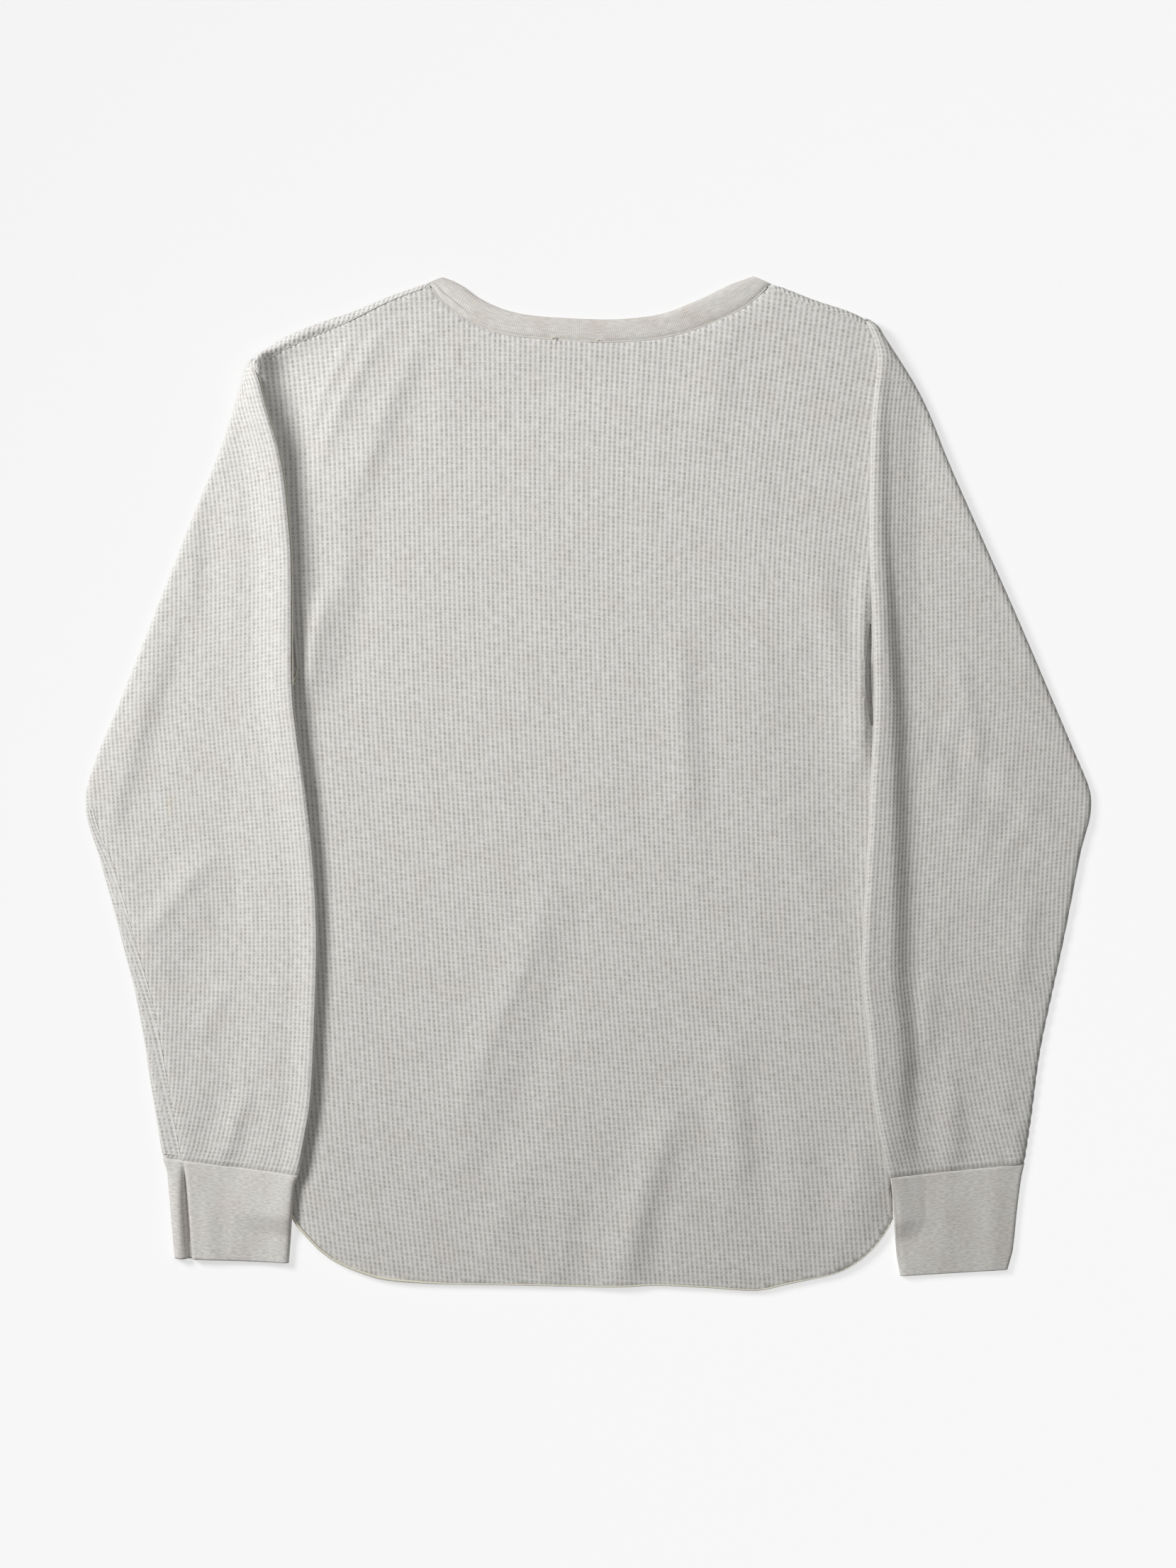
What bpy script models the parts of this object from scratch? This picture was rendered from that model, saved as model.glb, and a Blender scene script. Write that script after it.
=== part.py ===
"""A long-sleeved thermal top of waffle knit, laid flat on its front with its sleeves down its sides.

The tables and sizes are in millimetres. The origin is on the floor in the middle of the top's box, +Y runs
towards the neck, +X towards the wearer's right and +Z up through the back. Each cut-and-sewn piece is one
wall of cloth: a grid of points on its middle surface, given its thickness by Solidify.
"""

import bisect
import math

import bmesh
import bpy

MM = 0.001

# Walls, and how the layers lie on each other
KNIT_WALL = 1.6
CUFF_WALL = 1.8
BAND_WALL = 1.2
SEAM_GAP = 0.3
PANEL_MIDDLE = KNIT_WALL / 2
BACK_MIDDLE = KNIT_WALL * 1.5 + SEAM_GAP
STACK = 4.2  # clear height over the front and back panels together
RAMP = (9.0, 1.5)  # where a sleeve's lower layer starts and ends its climb onto the body, outside its edge
BRIDGE = {-1: 46.0, 1: 27.0}  # where its upper layer, which bridges that corner, starts to rise
ARC_STEPS = 4  # round each folded edge

# The body's side edge, hidden under the sleeves: height on the body, distance from the centre line
BODY_LEFT = (
    (281, 226.5), (241, 219.5), (203, 212), (139, 206.5), (70, 204), (-17, 199.5), (-72, 199),
    (-113, 199.5), (-195, 201.5), (-255, 202.5), (-283, 202.5),
)
BODY_RIGHT = (
    (305, 192), (295, 196), (286, 198.2), (266, 198.5), (203, 197.5), (114, 197), (70, 196.5),
    (39, 197.5), (-22, 198.5), (-132, 199), (-166, 200), (-228, 202), (-262, 203.5), (-292, 204.5),
)
BODY = {-1: BODY_LEFT, 1: BODY_RIGHT}

# The body's outlines: distance across, height
SHOULDER_LEFT = (
    (-227.5, 281), (-223, 287), (-216, 292.5), (-204.5, 300), (-181, 309.6), (-157, 317.8),
    (-133, 327.8), (-114.5, 334.2), (-108.5, 336),
)
SHOULDER_RIGHT = ((123.5, 336), (128.5, 334.2), (152.5, 324.8), (176, 317), (187, 311.2), (192, 305.5))
NECK_BACK = (
    (-108.5, 335.2), (-99, 325), (-90, 317), (-77.5, 308.5), (-62.5, 303), (-48.5, 300), (-19, 297.5),
    (13, 296), (40.5, 297.5), (63.5, 302), (86, 310), (104.5, 319), (123.5, 334.6),
)
NECK_FRONT = (
    (-108.5, 329), (-101, 309), (-92, 289), (-78, 267), (-58, 250), (-30, 238), (5, 233), (40, 238),
    (68, 251), (91, 270), (108, 294), (117, 312), (123.5, 329),
)
HEM = (
    (-202.5, -283), (-196.5, -294), (-189.5, -302), (-182, -310.5), (-170, -319.5), (-156, -326),
    (-136.5, -332), (-117, -334), (-97.5, -335), (-34.5, -336), (11, -337), (48, -336), (81, -337.5),
    (112.5, -339.5), (132, -335.5), (149, -332), (166.5, -328), (180.5, -320.5), (190.5, -312),
    (198.5, -302), (204.5, -292),
)
BODY_COLUMNS = (15, 27, 10)  # under the left shoulder, the neck and the right shoulder
BODY_ROWS = 32
ROLL = 3.2  # how far in from the shoulder line the back panel turns down
ROLL_START = 11.0  # where its closer rows begin
ROLL_ROWS = (8.4, 6.4, 4.6, 3.2, 1.7, 0.6, 0.0)
FRONT_INSET = 3.6  # of the front panel inside that turned-down edge

# Sleeve sections, top to cuff: height and distance out of the edge by the body, then of the outer edge
SLEEVE_LEFT = (
    (278, 221.5, 278, 230.3), (250.5, 216, 250.5, 237.8), (222.5, 207.5, 217, 249.5),
    (202.5, 204, 193.5, 259.5), (139, 199, 125, 286.5), (70, 199, 54, 314.5), (17, 193, 3, 335),
    (2, 191, -11, 338), (-12, 189.5, -24, 335.5), (-44.5, 185.5, -49.5, 327.5), (-102, 181.5, -103, 313),
    (-154, 183, -149.5, 301.5), (-206.5, 185.5, -198.5, 293.5), (-261, 192.5, -250, 285.2),
)
SLEEVE_RIGHT = (
    (303, 188.5, 302, 197), (288, 194, 287, 207), (269.5, 192, 269.5, 218.5), (245.5, 189.5, 246.5, 230),
    (222, 188.5, 224, 238.5), (164.5, 188, 169, 262.5), (107, 190, 114, 287), (50.5, 191, 61.5, 309.5),
    (-2.5, 188.5, 9.5, 331.5), (-16, 188, -3, 337), (-25, 187.5, -11.5, 338), (-37, 187, -23.5, 337),
    (-54.5, 186, -39, 332), (-91, 184, -72, 325.5), (-130, 183, -108, 318.5), (-166, 187, -147, 310),
    (-202, 189.5, -184, 302.5), (-232, 194, -221, 298), (-263, 201.3, -253.8, 293),
)
SLEEVE = {-1: SLEEVE_LEFT, 1: SLEEVE_RIGHT}
SECTION_STEP = 21.0  # the most between two sections of a sleeve or cuff
ARMPIT = {-1: 62.0, 1: 42.0}  # height below which a sleeve is sewn into a tube
CUFF_LEFT = (
    (-261.8, 193, -250.8, 285.2), (-267, 196, -259, 282.5), (-290, 198, -284, 280.3),
    (-315, 200, -307, 278.3), (-321.5, 200.5, -318.5, 277),
)
CUFF_RIGHT = (
    (-263.9, 202.2, -254.7, 292.7), (-270, 203.2, -263, 290.8), (-293.5, 205, -288, 287.6),
    (-318, 207.2, -313, 285), (-330.3, 209.5, -326, 281.3),
)
CUFF = {-1: CUFF_LEFT, 1: CUFF_RIGHT}

# The left sleeve's pleat: height, distance in from the outer edge of its crease
PLEAT = ((-30, 5.5), (-53, 8), (-106, 9), (-162, 11), (-243, 12.5), (-286, 11.5), (-319, 11))

# The neck band's free edge: distance across, height
BAND_BACK = (
    (-98.5, 339), (-87.5, 335.8), (-77.5, 328), (-67, 322), (-55.5, 317.5), (-40.5, 314), (-19, 312.2),
    (13, 311), (40.5, 313), (54, 316), (68, 321.5), (81.5, 327.5), (99, 336), (112, 339.7),
)
BAND_WIDTH = 15.5

# Folds, each from its start to its end: x, y, x, y, bow to the right of its middle, height (a trough is
# negative), and width to its left and its right, going towards its end
BACK_FOLDS = (
    (-12, -46, -96, -268, 2, 2.3, 15, 9),
    (2, -58, -74, -290, 3, -0.9, 9, 11),
    (66, -200, 18, -364, -6, 2.2, 10, 9),
    (2, -258, -12, -364, 0, -1.1, 9, 10),
    (50, -230, 42, -364, 0, -1.1, 8, 10),
    (92, -158, 104, -306, 0, 1.6, 11, 8),
    (104, -166, 118, -296, 0, -0.9, 8, 10),
    (198, -214, 164, -322, 0, 1.9, 11, 9),
    (144, 178, 190, -30, 5, 2.5, 15, 8),
    (124, 168, 144, 70, 2, 1.0, 9, 9),
    (140, 16, 188, -96, -4, -1.2, 9, 9),
    (122, 6, 176, -118, -5, 1.2, 11, 9),
    (180, -100, 172, -182, 0, -0.9, 9, 9),
    (62, 128, 74, -64, -3, 1.0, 10, 8),
    (75, 124, 87, -58, -3, -0.7, 8, 10),
    (114, 142, 120, 30, 0, 0.8, 9, 9),
    (-158, 182, -190, 40, 4, 2.1, 9, 9),
    (-146, 174, -174, 36, 4, -1.0, 9, 10),
    (-140, 318, -190, 232, 0, 1.2, 8, 8),
    (-118, 324, -190, 190, -3, 1.4, 8, 9),
    (-98, 324, -182, 160, -4, 1.2, 9, 9),
    (-128, 262, -176, 142, -3, 0.9, 9, 9),
    (-92, 310, -100, 214, 0, 0.8, 10, 10),
    (96, 322, 72, 220, 4, 0.9, 11, 11),
    (-150, -24, -156, -156, 0, 0.8, 11, 11),
    (-40, -244, -70, -336, 0, 0.9, 10, 9),
    (138, -202, 142, -326, 0, 0.9, 10, 9),
)
SLEEVE_FOLDS = {
    -1: (
        (-254, 204, -262, 92, 0, -0.9, 9, 9),
        (-236, 218, -240, 56, 0, 0.8, 10, 9),
        (-274, 128, -332, -40, 0, 1.4, 10, 9),
        (-264, 116, -314, -50, 0, -1.1, 8, 10),
        (-242, -34, -296, -136, 2, 1.8, 11, 8),
        (-236, -44, -284, -152, 2, -1.0, 8, 10),
        (-224, -176, -250, -278, 0, 1.4, 9, 8),
        (-216, -184, -240, -274, 0, -1.0, 7, 9),
        (-234, -144, -274, -242, 0, 0.9, 10, 9),
    ),
    1: (
        (210, 68, 320, -56, 5, 1.7, 11, 9),
        (214, 50, 318, -72, 5, -1.2, 9, 9),
        (204, 34, 302, -94, 4, 1.3, 9, 9),
        (224, 256, 268, 126, 3, 1.0, 10, 9),
        (262, 186, 304, 50, 3, 0.9, 12, 10),
        (258, -180, 254, -274, 0, -1.1, 9, 9),
        (240, -180, 238, -274, 0, 0.9, 9, 8),
        (280, -190, 278, -274, 0, 0.9, 9, 8),
        (226, -64, 236, -186, 0, 0.9, 10, 10),
    ),
}
WAVES = ((41, 63, 0.7), (57, 38, 2.1), (29, 87, 4.0))  # faint unevenness: length across, length along, start
WAVE_HEIGHT = 0.16
SHOULDER_STRIP = {-1: (3.8, 2.6, 1.5), 1: (3.0, 2.2, 0.7)}  # rolled along the shoulder: place, width, height
EDGE_ROLL = {-1: 2.2, 1: 1.5}  # extra height of each sleeve's folded edge by the body
PLEAT_STEP = 1.7  # how far the sleeve stands over the pleat's strip


def smooth(t):
    t = min(max(t, 0.0), 1.0)
    return t * t * (3 - 2 * t)


def mix(a, b, t):
    return a + (b - a) * t


def read(table, column, key):
    """A column of a table where its first column is key, on a curve that never overshoots its rows."""
    rows = sorted(table)
    keys = [row[0] for row in rows]
    values = [row[column] for row in rows]
    slopes = [(values[i + 1] - values[i]) / (keys[i + 1] - keys[i]) for i in range(len(rows) - 1)]
    key = min(max(key, keys[0]), keys[-1])
    i = min(bisect.bisect_right(keys, key), len(rows) - 1) - 1

    def tangent(at):
        if at in (0, len(rows) - 1):
            return slopes[0 if at == 0 else -1]
        before, after = slopes[at - 1], slopes[at]
        return 2 * before * after / (before + after) if before * after > 0 else 0.0

    step = keys[i + 1] - keys[i]
    t = (key - keys[i]) / step
    curve = (2 * t**3 - 3 * t**2 + 1) * values[i] + (3 * t**2 - 2 * t**3) * values[i + 1]
    return curve + step * ((t**3 - 2 * t**2 + t) * tangent(i) + (t**3 - t**2) * tangent(i + 1))


def fold_height(folds, x, y):
    """What a table of folds adds at a place: soft ridges and troughs along gently bowed lines."""
    total = sum(WAVE_HEIGHT * math.sin(x / a + y / b + start) for a, b, start in WAVES)
    for x0, y0, x1, y1, bow, height, left, right in folds:
        run_x, run_y = x1 - x0, y1 - y0
        length = math.hypot(run_x, run_y)
        t = ((x - x0) * run_x + (y - y0) * run_y) / length**2
        if 0 < t < 1:
            away = ((y - y0) * run_x - (x - x0) * run_y) / length - bow * 4 * t * (1 - t)
            width = right if away > 0 else left
            total += height * smooth(t / 0.3) * smooth((1 - t) / 0.3) * math.exp(-((away / width) ** 2))
    return total


def softly_above_zero(height):
    return (height + math.sqrt(height * height + 0.15)) / 2


def body_edge(side, y):
    return read(BODY[side], 1, y)


def inner_edge(side, y):
    """How far out the sleeve or cuff that lies on the body reaches in to."""
    return read(SLEEVE[side] if y > SLEEVE[side][-1][0] else CUFF[side], 1, y)


def climb(inside, start=RAMP[0]):
    """How far the body's layers lift what crosses their edge, at a distance inside that edge."""
    return STACK * smooth((inside + start) / (start - RAMP[1]))


def back_height(x, y, strip=0.0):
    """The back panel's middle surface: calm under the sleeves, folded between them, a rolled strip added."""
    calm = 1.0
    for side in (-1, 1):
        edge = body_edge(side, y)
        covered = max(edge - inner_edge(side, y), 0.0)
        calm *= smooth((edge - side * x - covered) / 8)
    hollow = 1.1 * smooth(1.4 - ((x - 6) / 66) ** 2 - ((y - 271) / 20) ** 2)
    return BACK_MIDDLE + calm * (softly_above_zero(0.9 + fold_height(BACK_FOLDS, x, y)) + strip) - hollow


def top_outline(x):
    if x < NECK_BACK[0][0]:
        return read(SHOULDER_LEFT, 1, x)
    if x > NECK_BACK[-1][0]:
        return read(SHOULDER_RIGHT, 1, x)
    return read(NECK_BACK, 1, x)


def neck_stations():
    """The seam points round the neck, which the back panel and the band share."""
    left, right, count = NECK_BACK[0][0], NECK_BACK[-1][0], BODY_COLUMNS[1]
    return [mix(left, right, i / count) for i in range(count + 1)]


def body_columns():
    """The back panel's columns at its top edge: distance across, and whether the edge there turns down."""
    left, right = SHOULDER_LEFT[0][0], SHOULDER_RIGHT[-1][0]
    neck = neck_stations()
    first, _, last = BODY_COLUMNS
    columns = [(mix(left, neck[0], i / first), True) for i in range(first)]
    columns += [(x, False) for x in neck]
    return columns + [(mix(neck[-1], right, i / last), True) for i in range(1, last + 1)]


def back_rows():
    """The back panel's points, hem to top, each row a list of columns."""
    columns = body_columns()
    left, right = columns[0][0], columns[-1][0]
    fractions = [i / BODY_ROWS for i in range(BODY_ROWS + 1)]
    rows = []
    for step in fractions + [None] * len(ROLL_ROWS):
        rows.append([])
        for x_top, turned in columns:
            across = (x_top - left) / (right - left)
            low_y = read(HEM, 1, mix(HEM[0][0], HEM[-1][0], across))
            top_y = top_outline(x_top) + (-0.1 if turned else 0.0)
            edge_y = top_y - PANEL_MIDDLE * turned
            in_from_top = None if step is not None else ROLL_ROWS[len(rows) - 2 - BODY_ROWS]
            y = mix(low_y, edge_y - ROLL_START, step) if step is not None else edge_y - in_from_top
            ends = [-body_edge(-1, y), body_edge(1, y)]
            x = x_top + mix(ends[0] - left, ends[1] - right, across)
            if in_from_top is not None and turned:
                place, width, height = SHOULDER_STRIP[-1 if x < 0 else 1]
                z = back_height(x, y, height * math.exp(-(((in_from_top - place) / width) ** 2)))
                z = mix(PANEL_MIDDLE, z, math.sqrt(1 - (1 - min(in_from_top / ROLL, 1)) ** 2))
            else:
                z = back_height(x, y)
            rows[-1].append((x, y, z))
    return rows


def front_outline():
    """The front panel's cut edge: hem, right side, shoulder, neckline, shoulder and left side."""
    steps = 24
    hem = [mix(HEM[0][0] + 0.4, HEM[-1][0] - 0.4, i / steps) for i in range(steps + 1)]
    points = [(x, read(HEM, 1, x) + 0.5) for x in hem]
    tops = {-1: SHOULDER_LEFT[0][1] - 3 * FRONT_INSET, 1: SHOULDER_RIGHT[-1][1] - 2 * FRONT_INSET}
    lows = {-1: HEM[0][1], 1: HEM[-1][1]}
    rise = {s: [mix(lows[s], tops[s], i / steps) for i in range(1, steps + 1)] for s in (-1, 1)}
    points += [(body_edge(1, y), y) for y in rise[1]]
    right = [mix(SHOULDER_RIGHT[-1][0], SHOULDER_RIGHT[0][0] + 1, i / 5) for i in range(1, 6)]
    points += [(x, read(SHOULDER_RIGHT, 1, x) - FRONT_INSET) for x in right]
    points += [(x, read(NECK_FRONT, 1, x)) for x in reversed(neck_stations())]
    left = [mix(SHOULDER_LEFT[-1][0] - 1, SHOULDER_LEFT[0][0] + 14, i / 8) for i in range(9)]
    points += [(x, read(SHOULDER_LEFT, 1, x) - FRONT_INSET) for x in left]
    return points + [(-body_edge(-1, y), y) for y in reversed(rise[-1])]


def pleat_at(side, y):
    """Where the left sleeve's pleat is creased, in from its outer edge, or None where there is none."""
    return read(PLEAT, 1, y) if side < 0 and y < PLEAT[0][0] else None


def sleeve_lift(side, out, y, inner, outer):
    """What rolls, folds and the pleat add to a sleeve's upper layer."""
    lift = 0.5 + EDGE_ROLL[side] * math.exp(-(((out - inner) / 10) ** 2))
    lift += fold_height(SLEEVE_FOLDS[side], side * out, y)
    crease = pleat_at(side, y)
    if crease is not None:
        past = (outer - out) - crease
        grown = smooth((PLEAT[0][0] - y) / 25)
        lift += grown * PLEAT_STEP * smooth((past + 0.8) / 2.4) * math.exp(-((max(past, 0) / 22) ** 2))
    return softly_above_zero(lift)


def spread_out(start, end, count):
    """Evenly spaced stations after start, up to end."""
    return [mix(start, end, i / count) for i in range(1, count + 1)]


def tube_row(side, section, wall, joined, on_body=1.0):
    """One section of a flattened sleeve or cuff, from its underarm seam out, over the top and back under.

    A row that isn't joined is open where the body's panels are sewn in: its lower end meets the front
    panel on the floor, and its upper end lies tucked on the back panel.
    """
    inner_y, inner, outer_y, outer = section

    def height_at(out):
        return mix(inner_y, outer_y, (out - inner) / (outer - inner))

    def edge_at(out):
        return body_edge(side, height_at(out))

    def under(out):
        return wall / 2 + on_body * climb(edge_at(out) - out)

    def over(out):
        y = height_at(out)
        rise = on_body * climb(edge_at(out) - out, BRIDGE[side])
        return 1.5 * wall + SEAM_GAP + rise + sleeve_lift(side, out, y, inner, outer)

    def arc(at, low, high, reach, start, end):
        middle, tall = (low + high) / 2, (high - low) / 2
        turns = [math.radians(mix(start, end, i / ARC_STEPS)) for i in range(ARC_STEPS + 1)]
        return [(at + reach * math.cos(a), middle + tall * math.sin(a)) for a in turns]

    edge = edge_at(inner)
    floor = wall / 2
    inner_tall = (over(inner + 2.5) - under(inner + 2.5)) / 2
    inner_at = inner + wall / 2 + inner_tall
    outer_tall = (over(outer - 2.5) - (under(outer - 2.5) if joined else floor)) / 2
    outer_reach = min(outer_tall, max(0.35 * (outer - edge), 1.4))
    outer_at = outer - wall / 2 - outer_reach
    lean = max(edge, inner_at + 1.5)  # where the layers lean on the body, or would
    lower_start = lean + 4.0 if joined else edge + 0.8
    upper_end = lean + 4.0 if joined else max(edge - 1.5, inner_at + 0.5)

    wide = smooth((outer - inner - 15) / 30)
    ramp = lean + RAMP[0]
    low_stations = spread_out(lower_start, outer_at, 4)
    low_planned = [ramp] + spread_out(ramp, outer_at, 3)
    crease = pleat_at(side, outer_y)
    by_outer = [outer - crease + 0.8, outer - crease - 1.8] if crease else spread_out(outer_at, ramp, 10)[:2]
    top_stations = spread_out(outer_at, inner_at, 13)
    top_planned = by_outer + spread_out(by_outer[-1], ramp, 7) + [lean + 5, lean + 1.5]
    top_planned += spread_out(lean + 1.5, inner_at, 2)
    lows = [mix(a, b, wide) for a, b in zip(low_stations, low_planned)]
    tops = [mix(a, b, wide) for a, b in zip(top_stations, top_planned)]
    tucks = spread_out(inner_at, upper_end, 2)

    low_z = under if joined else lambda out: floor
    path = [(out, low_z(out)) for out in [lower_start] + lows[:-1]]
    path += arc(outer_at, low_z(outer_at), over(outer_at), outer_reach, -90, 90)
    path += [(out, over(out)) for out in tops[:-1]]
    path += arc(inner_at, under(inner_at), over(inner_at), -inner_tall, 90, -90)
    path += [(out, under(out)) for out in tucks]
    return [(side * out, height_at(out), z) for out, z in path]


def tube_rows(side, table, wall, armpit=None):
    """The sections of a sleeve or cuff: its table's rows, and evenly spaced ones read between them."""
    keys = [table[0][0]]
    for above, below in zip(table, table[1:]):
        keys += spread_out(above[0], below[0], math.ceil((above[0] - below[0]) / SECTION_STEP))
    sections = [[key] + [read(table, column, key) for column in (1, 2, 3)] for key in keys]
    rows = []
    for section in sections:
        joined = armpit is None or section[0] < armpit
        on_body = smooth((section[0] + 304) / 10)
        rows.append(tube_row(side, section, wall, joined, on_body))
    return rows


def band_rows():
    """The neck band, seam edge to free edge: a loop along the back neckline and back along the front's."""
    stations = neck_stations()
    last = len(stations) - 1
    low, high = BAND_WALL / 2, BACK_MIDDLE + 0.1
    free_left, free_right = BAND_BACK[0][0], BAND_BACK[-1][0]

    def edges(table, i, gap):
        """A seam point set off the neckline by the gap, and the direction across the band there."""
        before, after = stations[max(i - 1, 0)], stations[min(i + 1, last)]
        slope = (read(table, 1, after) - read(table, 1, before)) / (after - before)
        length = math.hypot(1, slope)
        across = (-slope / length, 1 / length)
        x, y = stations[i], read(table, 1, stations[i])
        return (x + gap * across[0], y + gap * across[1]), across

    back, front = [], []
    for i in range(last + 1):
        seam, _ = edges(NECK_BACK, i, 0.5)
        free_x = mix(free_left, free_right, i / last)
        back.append((seam, (free_x, read(BAND_BACK, 1, free_x))))
        seam, across = edges(NECK_FRONT, i, 0.5)
        front.append((seam, (seam[0] + BAND_WIDTH * across[0], seam[1] + BAND_WIDTH * across[1])))
    for end in (0, last):
        front[end] = back[end]

    rows = []
    across_steps = 4
    for j in range(across_steps + 1):
        share = j / across_steps
        place = [[tuple(mix(a, b, share) for a, b in zip(*pair)) for pair in half] for half in (back, front)]
        row = []
        for half, end in ((0, 0), (1, last)):
            order = range(1, last) if half == 0 else range(last - 1, 0, -1)
            fold = place[0][end]
            inward = 1 if end == 0 else -1
            tall = (high - low) / 2
            start = -90 if half == 0 else 90
            for step in range(ARC_STEPS + 1):
                turn = math.radians(start + (180 if half == 0 else -180) * step / ARC_STEPS)
                across = inward * (BAND_WALL / 2 + tall * (1 - math.cos(turn)))
                row.append((fold[0] + across, fold[1], (low + high) / 2 + tall * math.sin(turn)))
            row += [(x, y, high if half == 0 else low) for x, y in (place[half][i] for i in order)]
        rows.append(row + row[:1])
    return rows


def make_material(name, colour, roughness):
    material = bpy.data.materials.new(name)
    material.use_nodes = True
    shader = material.node_tree.nodes["Principled BSDF"]
    shader.inputs["Base Color"].default_value = (*colour, 1)
    shader.inputs["Roughness"].default_value = roughness
    shader.inputs["Metallic"].default_value = 0.0
    return material


def finish(name, mesh_or_curve, collection, material):
    obj = bpy.data.objects.new(name, mesh_or_curve)
    collection.objects.link(obj)
    obj.data.materials.append(material)
    return obj


def make_cloth(name, rows, wall, collection, material):
    """A wall of cloth on a grid of middle points, its ends merged where a row closes on itself."""
    across, along = len(rows[0]) - 1, len(rows) - 1
    bm = bmesh.new()
    bmesh.ops.create_grid(bm, x_segments=across, y_segments=along, size=1)
    for vert in bm.verts:
        i = round((vert.co.x + 1) / 2 * across)
        j = round((vert.co.y + 1) / 2 * along)
        vert.co = [value * MM for value in rows[j][i]]
    bmesh.ops.remove_doubles(bm, verts=bm.verts, dist=1e-6)
    mesh = bpy.data.meshes.new(name)
    bm.to_mesh(mesh)
    bm.free()
    mesh.shade_smooth()
    obj = finish(name, mesh, collection, material)
    solid = obj.modifiers.new("wall", "SOLIDIFY")
    solid.thickness = wall * MM
    solid.offset = 0
    solid.use_even_offset = True
    solid.use_quality_normals = True
    return obj


def make_flat(name, outline, wall, collection, material):
    """A flat panel that rests on the floor, cut to an outline."""
    curve = bpy.data.curves.new(name, "CURVE")
    curve.dimensions = "2D"
    curve.fill_mode = "BOTH"
    curve.extrude = wall / 2 * MM
    spline = curve.splines.new("POLY")
    spline.points.add(len(outline) - 1)
    for point, (x, y) in zip(spline.points, outline):
        point.co = (x * MM, y * MM, 0, 1)
    spline.use_cyclic_u = True
    obj = finish(name, curve, collection, material)
    obj.location.z = wall / 2 * MM
    return obj


def main():
    for obj in list(bpy.data.objects):
        bpy.data.objects.remove(obj)
    collection = bpy.data.collections.new("thermal_top")
    bpy.context.scene.collection.children.link(collection)
    knit = make_material("waffle_knit", (0.60, 0.60, 0.57), 0.9)
    cuff_jersey = make_material("cuff_jersey", (0.48, 0.48, 0.45), 0.92)
    band_rib = make_material("band_rib", (0.55, 0.55, 0.53), 0.92)

    make_flat("front_panel", front_outline(), KNIT_WALL, collection, knit)
    make_cloth("back_panel", back_rows(), KNIT_WALL, collection, knit)
    for side, name in ((-1, "left"), (1, "right")):
        sleeve = tube_rows(side, SLEEVE[side], KNIT_WALL, ARMPIT[side])
        make_cloth(f"{name}_sleeve", sleeve, KNIT_WALL, collection, knit)
        cuff = tube_rows(side, CUFF[side], CUFF_WALL)
        make_cloth(f"{name}_cuff", cuff, CUFF_WALL, collection, cuff_jersey)
    make_cloth("neck_band", band_rows(), BAND_WALL, collection, band_rib)


main()
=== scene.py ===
# %% [markdown]
# # A long-sleeved thermal top, laid flat on its front
# The top is waffle knit, with jersey cuffs and a ribbed neck band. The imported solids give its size, its
# outline and its large folds. This file dresses them: each cut piece becomes a fine sheet of knit laid on
# its solid, and then the seams, the overlocked hem and the light are added.

import bmesh
import bpy
import numpy as np
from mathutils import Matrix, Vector
from mathutils.bvhtree import BVHTree
from mathutils.kdtree import KDTree


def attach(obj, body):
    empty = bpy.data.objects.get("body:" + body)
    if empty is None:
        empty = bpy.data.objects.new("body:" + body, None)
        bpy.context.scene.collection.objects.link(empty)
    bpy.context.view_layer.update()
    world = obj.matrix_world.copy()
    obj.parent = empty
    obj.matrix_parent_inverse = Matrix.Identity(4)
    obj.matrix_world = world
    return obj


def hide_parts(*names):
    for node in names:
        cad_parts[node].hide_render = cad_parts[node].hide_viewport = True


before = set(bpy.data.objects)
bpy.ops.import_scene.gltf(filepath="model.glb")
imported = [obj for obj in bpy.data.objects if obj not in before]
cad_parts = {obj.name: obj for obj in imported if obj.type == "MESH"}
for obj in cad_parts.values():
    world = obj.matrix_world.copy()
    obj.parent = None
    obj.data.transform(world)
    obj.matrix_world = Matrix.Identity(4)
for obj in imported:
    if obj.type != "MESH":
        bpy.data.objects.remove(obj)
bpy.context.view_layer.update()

MM = 0.001

# %% [markdown]
# ## The camera
# A garment laid out for a catalogue is seen from straight above, from about two metres, so that its
# outline hardly narrows towards the edges. The lens follows from that distance and from the length of
# floor it takes in.

# %% Camera
CAMERA_HEIGHT = 2.0
FIELD_HEIGHT = 1.053  # metres of floor from the bottom of the frame to its top
SENSOR = 36.0  # mm


def put(name, data):
    """An object with this mesh, curve, lens or light, linked to the scene."""
    item = bpy.data.objects.new(name, data)
    bpy.context.scene.collection.objects.link(item)
    return item


lens = bpy.data.cameras.new("camera")
lens.sensor_width = SENSOR
lens.lens = SENSOR * CAMERA_HEIGHT / FIELD_HEIGHT
camera = put("camera", lens)
camera.location = (0, 0, CAMERA_HEIGHT)
bpy.context.scene.camera = camera
print(f"camera {CAMERA_HEIGHT} m over the floor, {lens.lens:.0f} mm lens")

# %% [markdown]
# ## Colours and shader nodes
# Colours are picked as sRGB hex values, while a shader works on linear light, so one function turns them.
# One more adds a node to a material, with its settings. Each of its sockets gets a value, the socket that
# feeds it, or the node that feeds it, which then gives the first of its outputs that is in use.


# %% Helpers for materials
def colour(hex_code):
    """An sRGB hex value as linear light."""
    channels = [int(hex_code[i : i + 2], 16) / 255 for i in (1, 3, 5)]
    return (*[c / 12.92 if c <= 0.04045 else ((c + 0.055) / 1.055) ** 2.4 for c in channels], 1.0)


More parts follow.
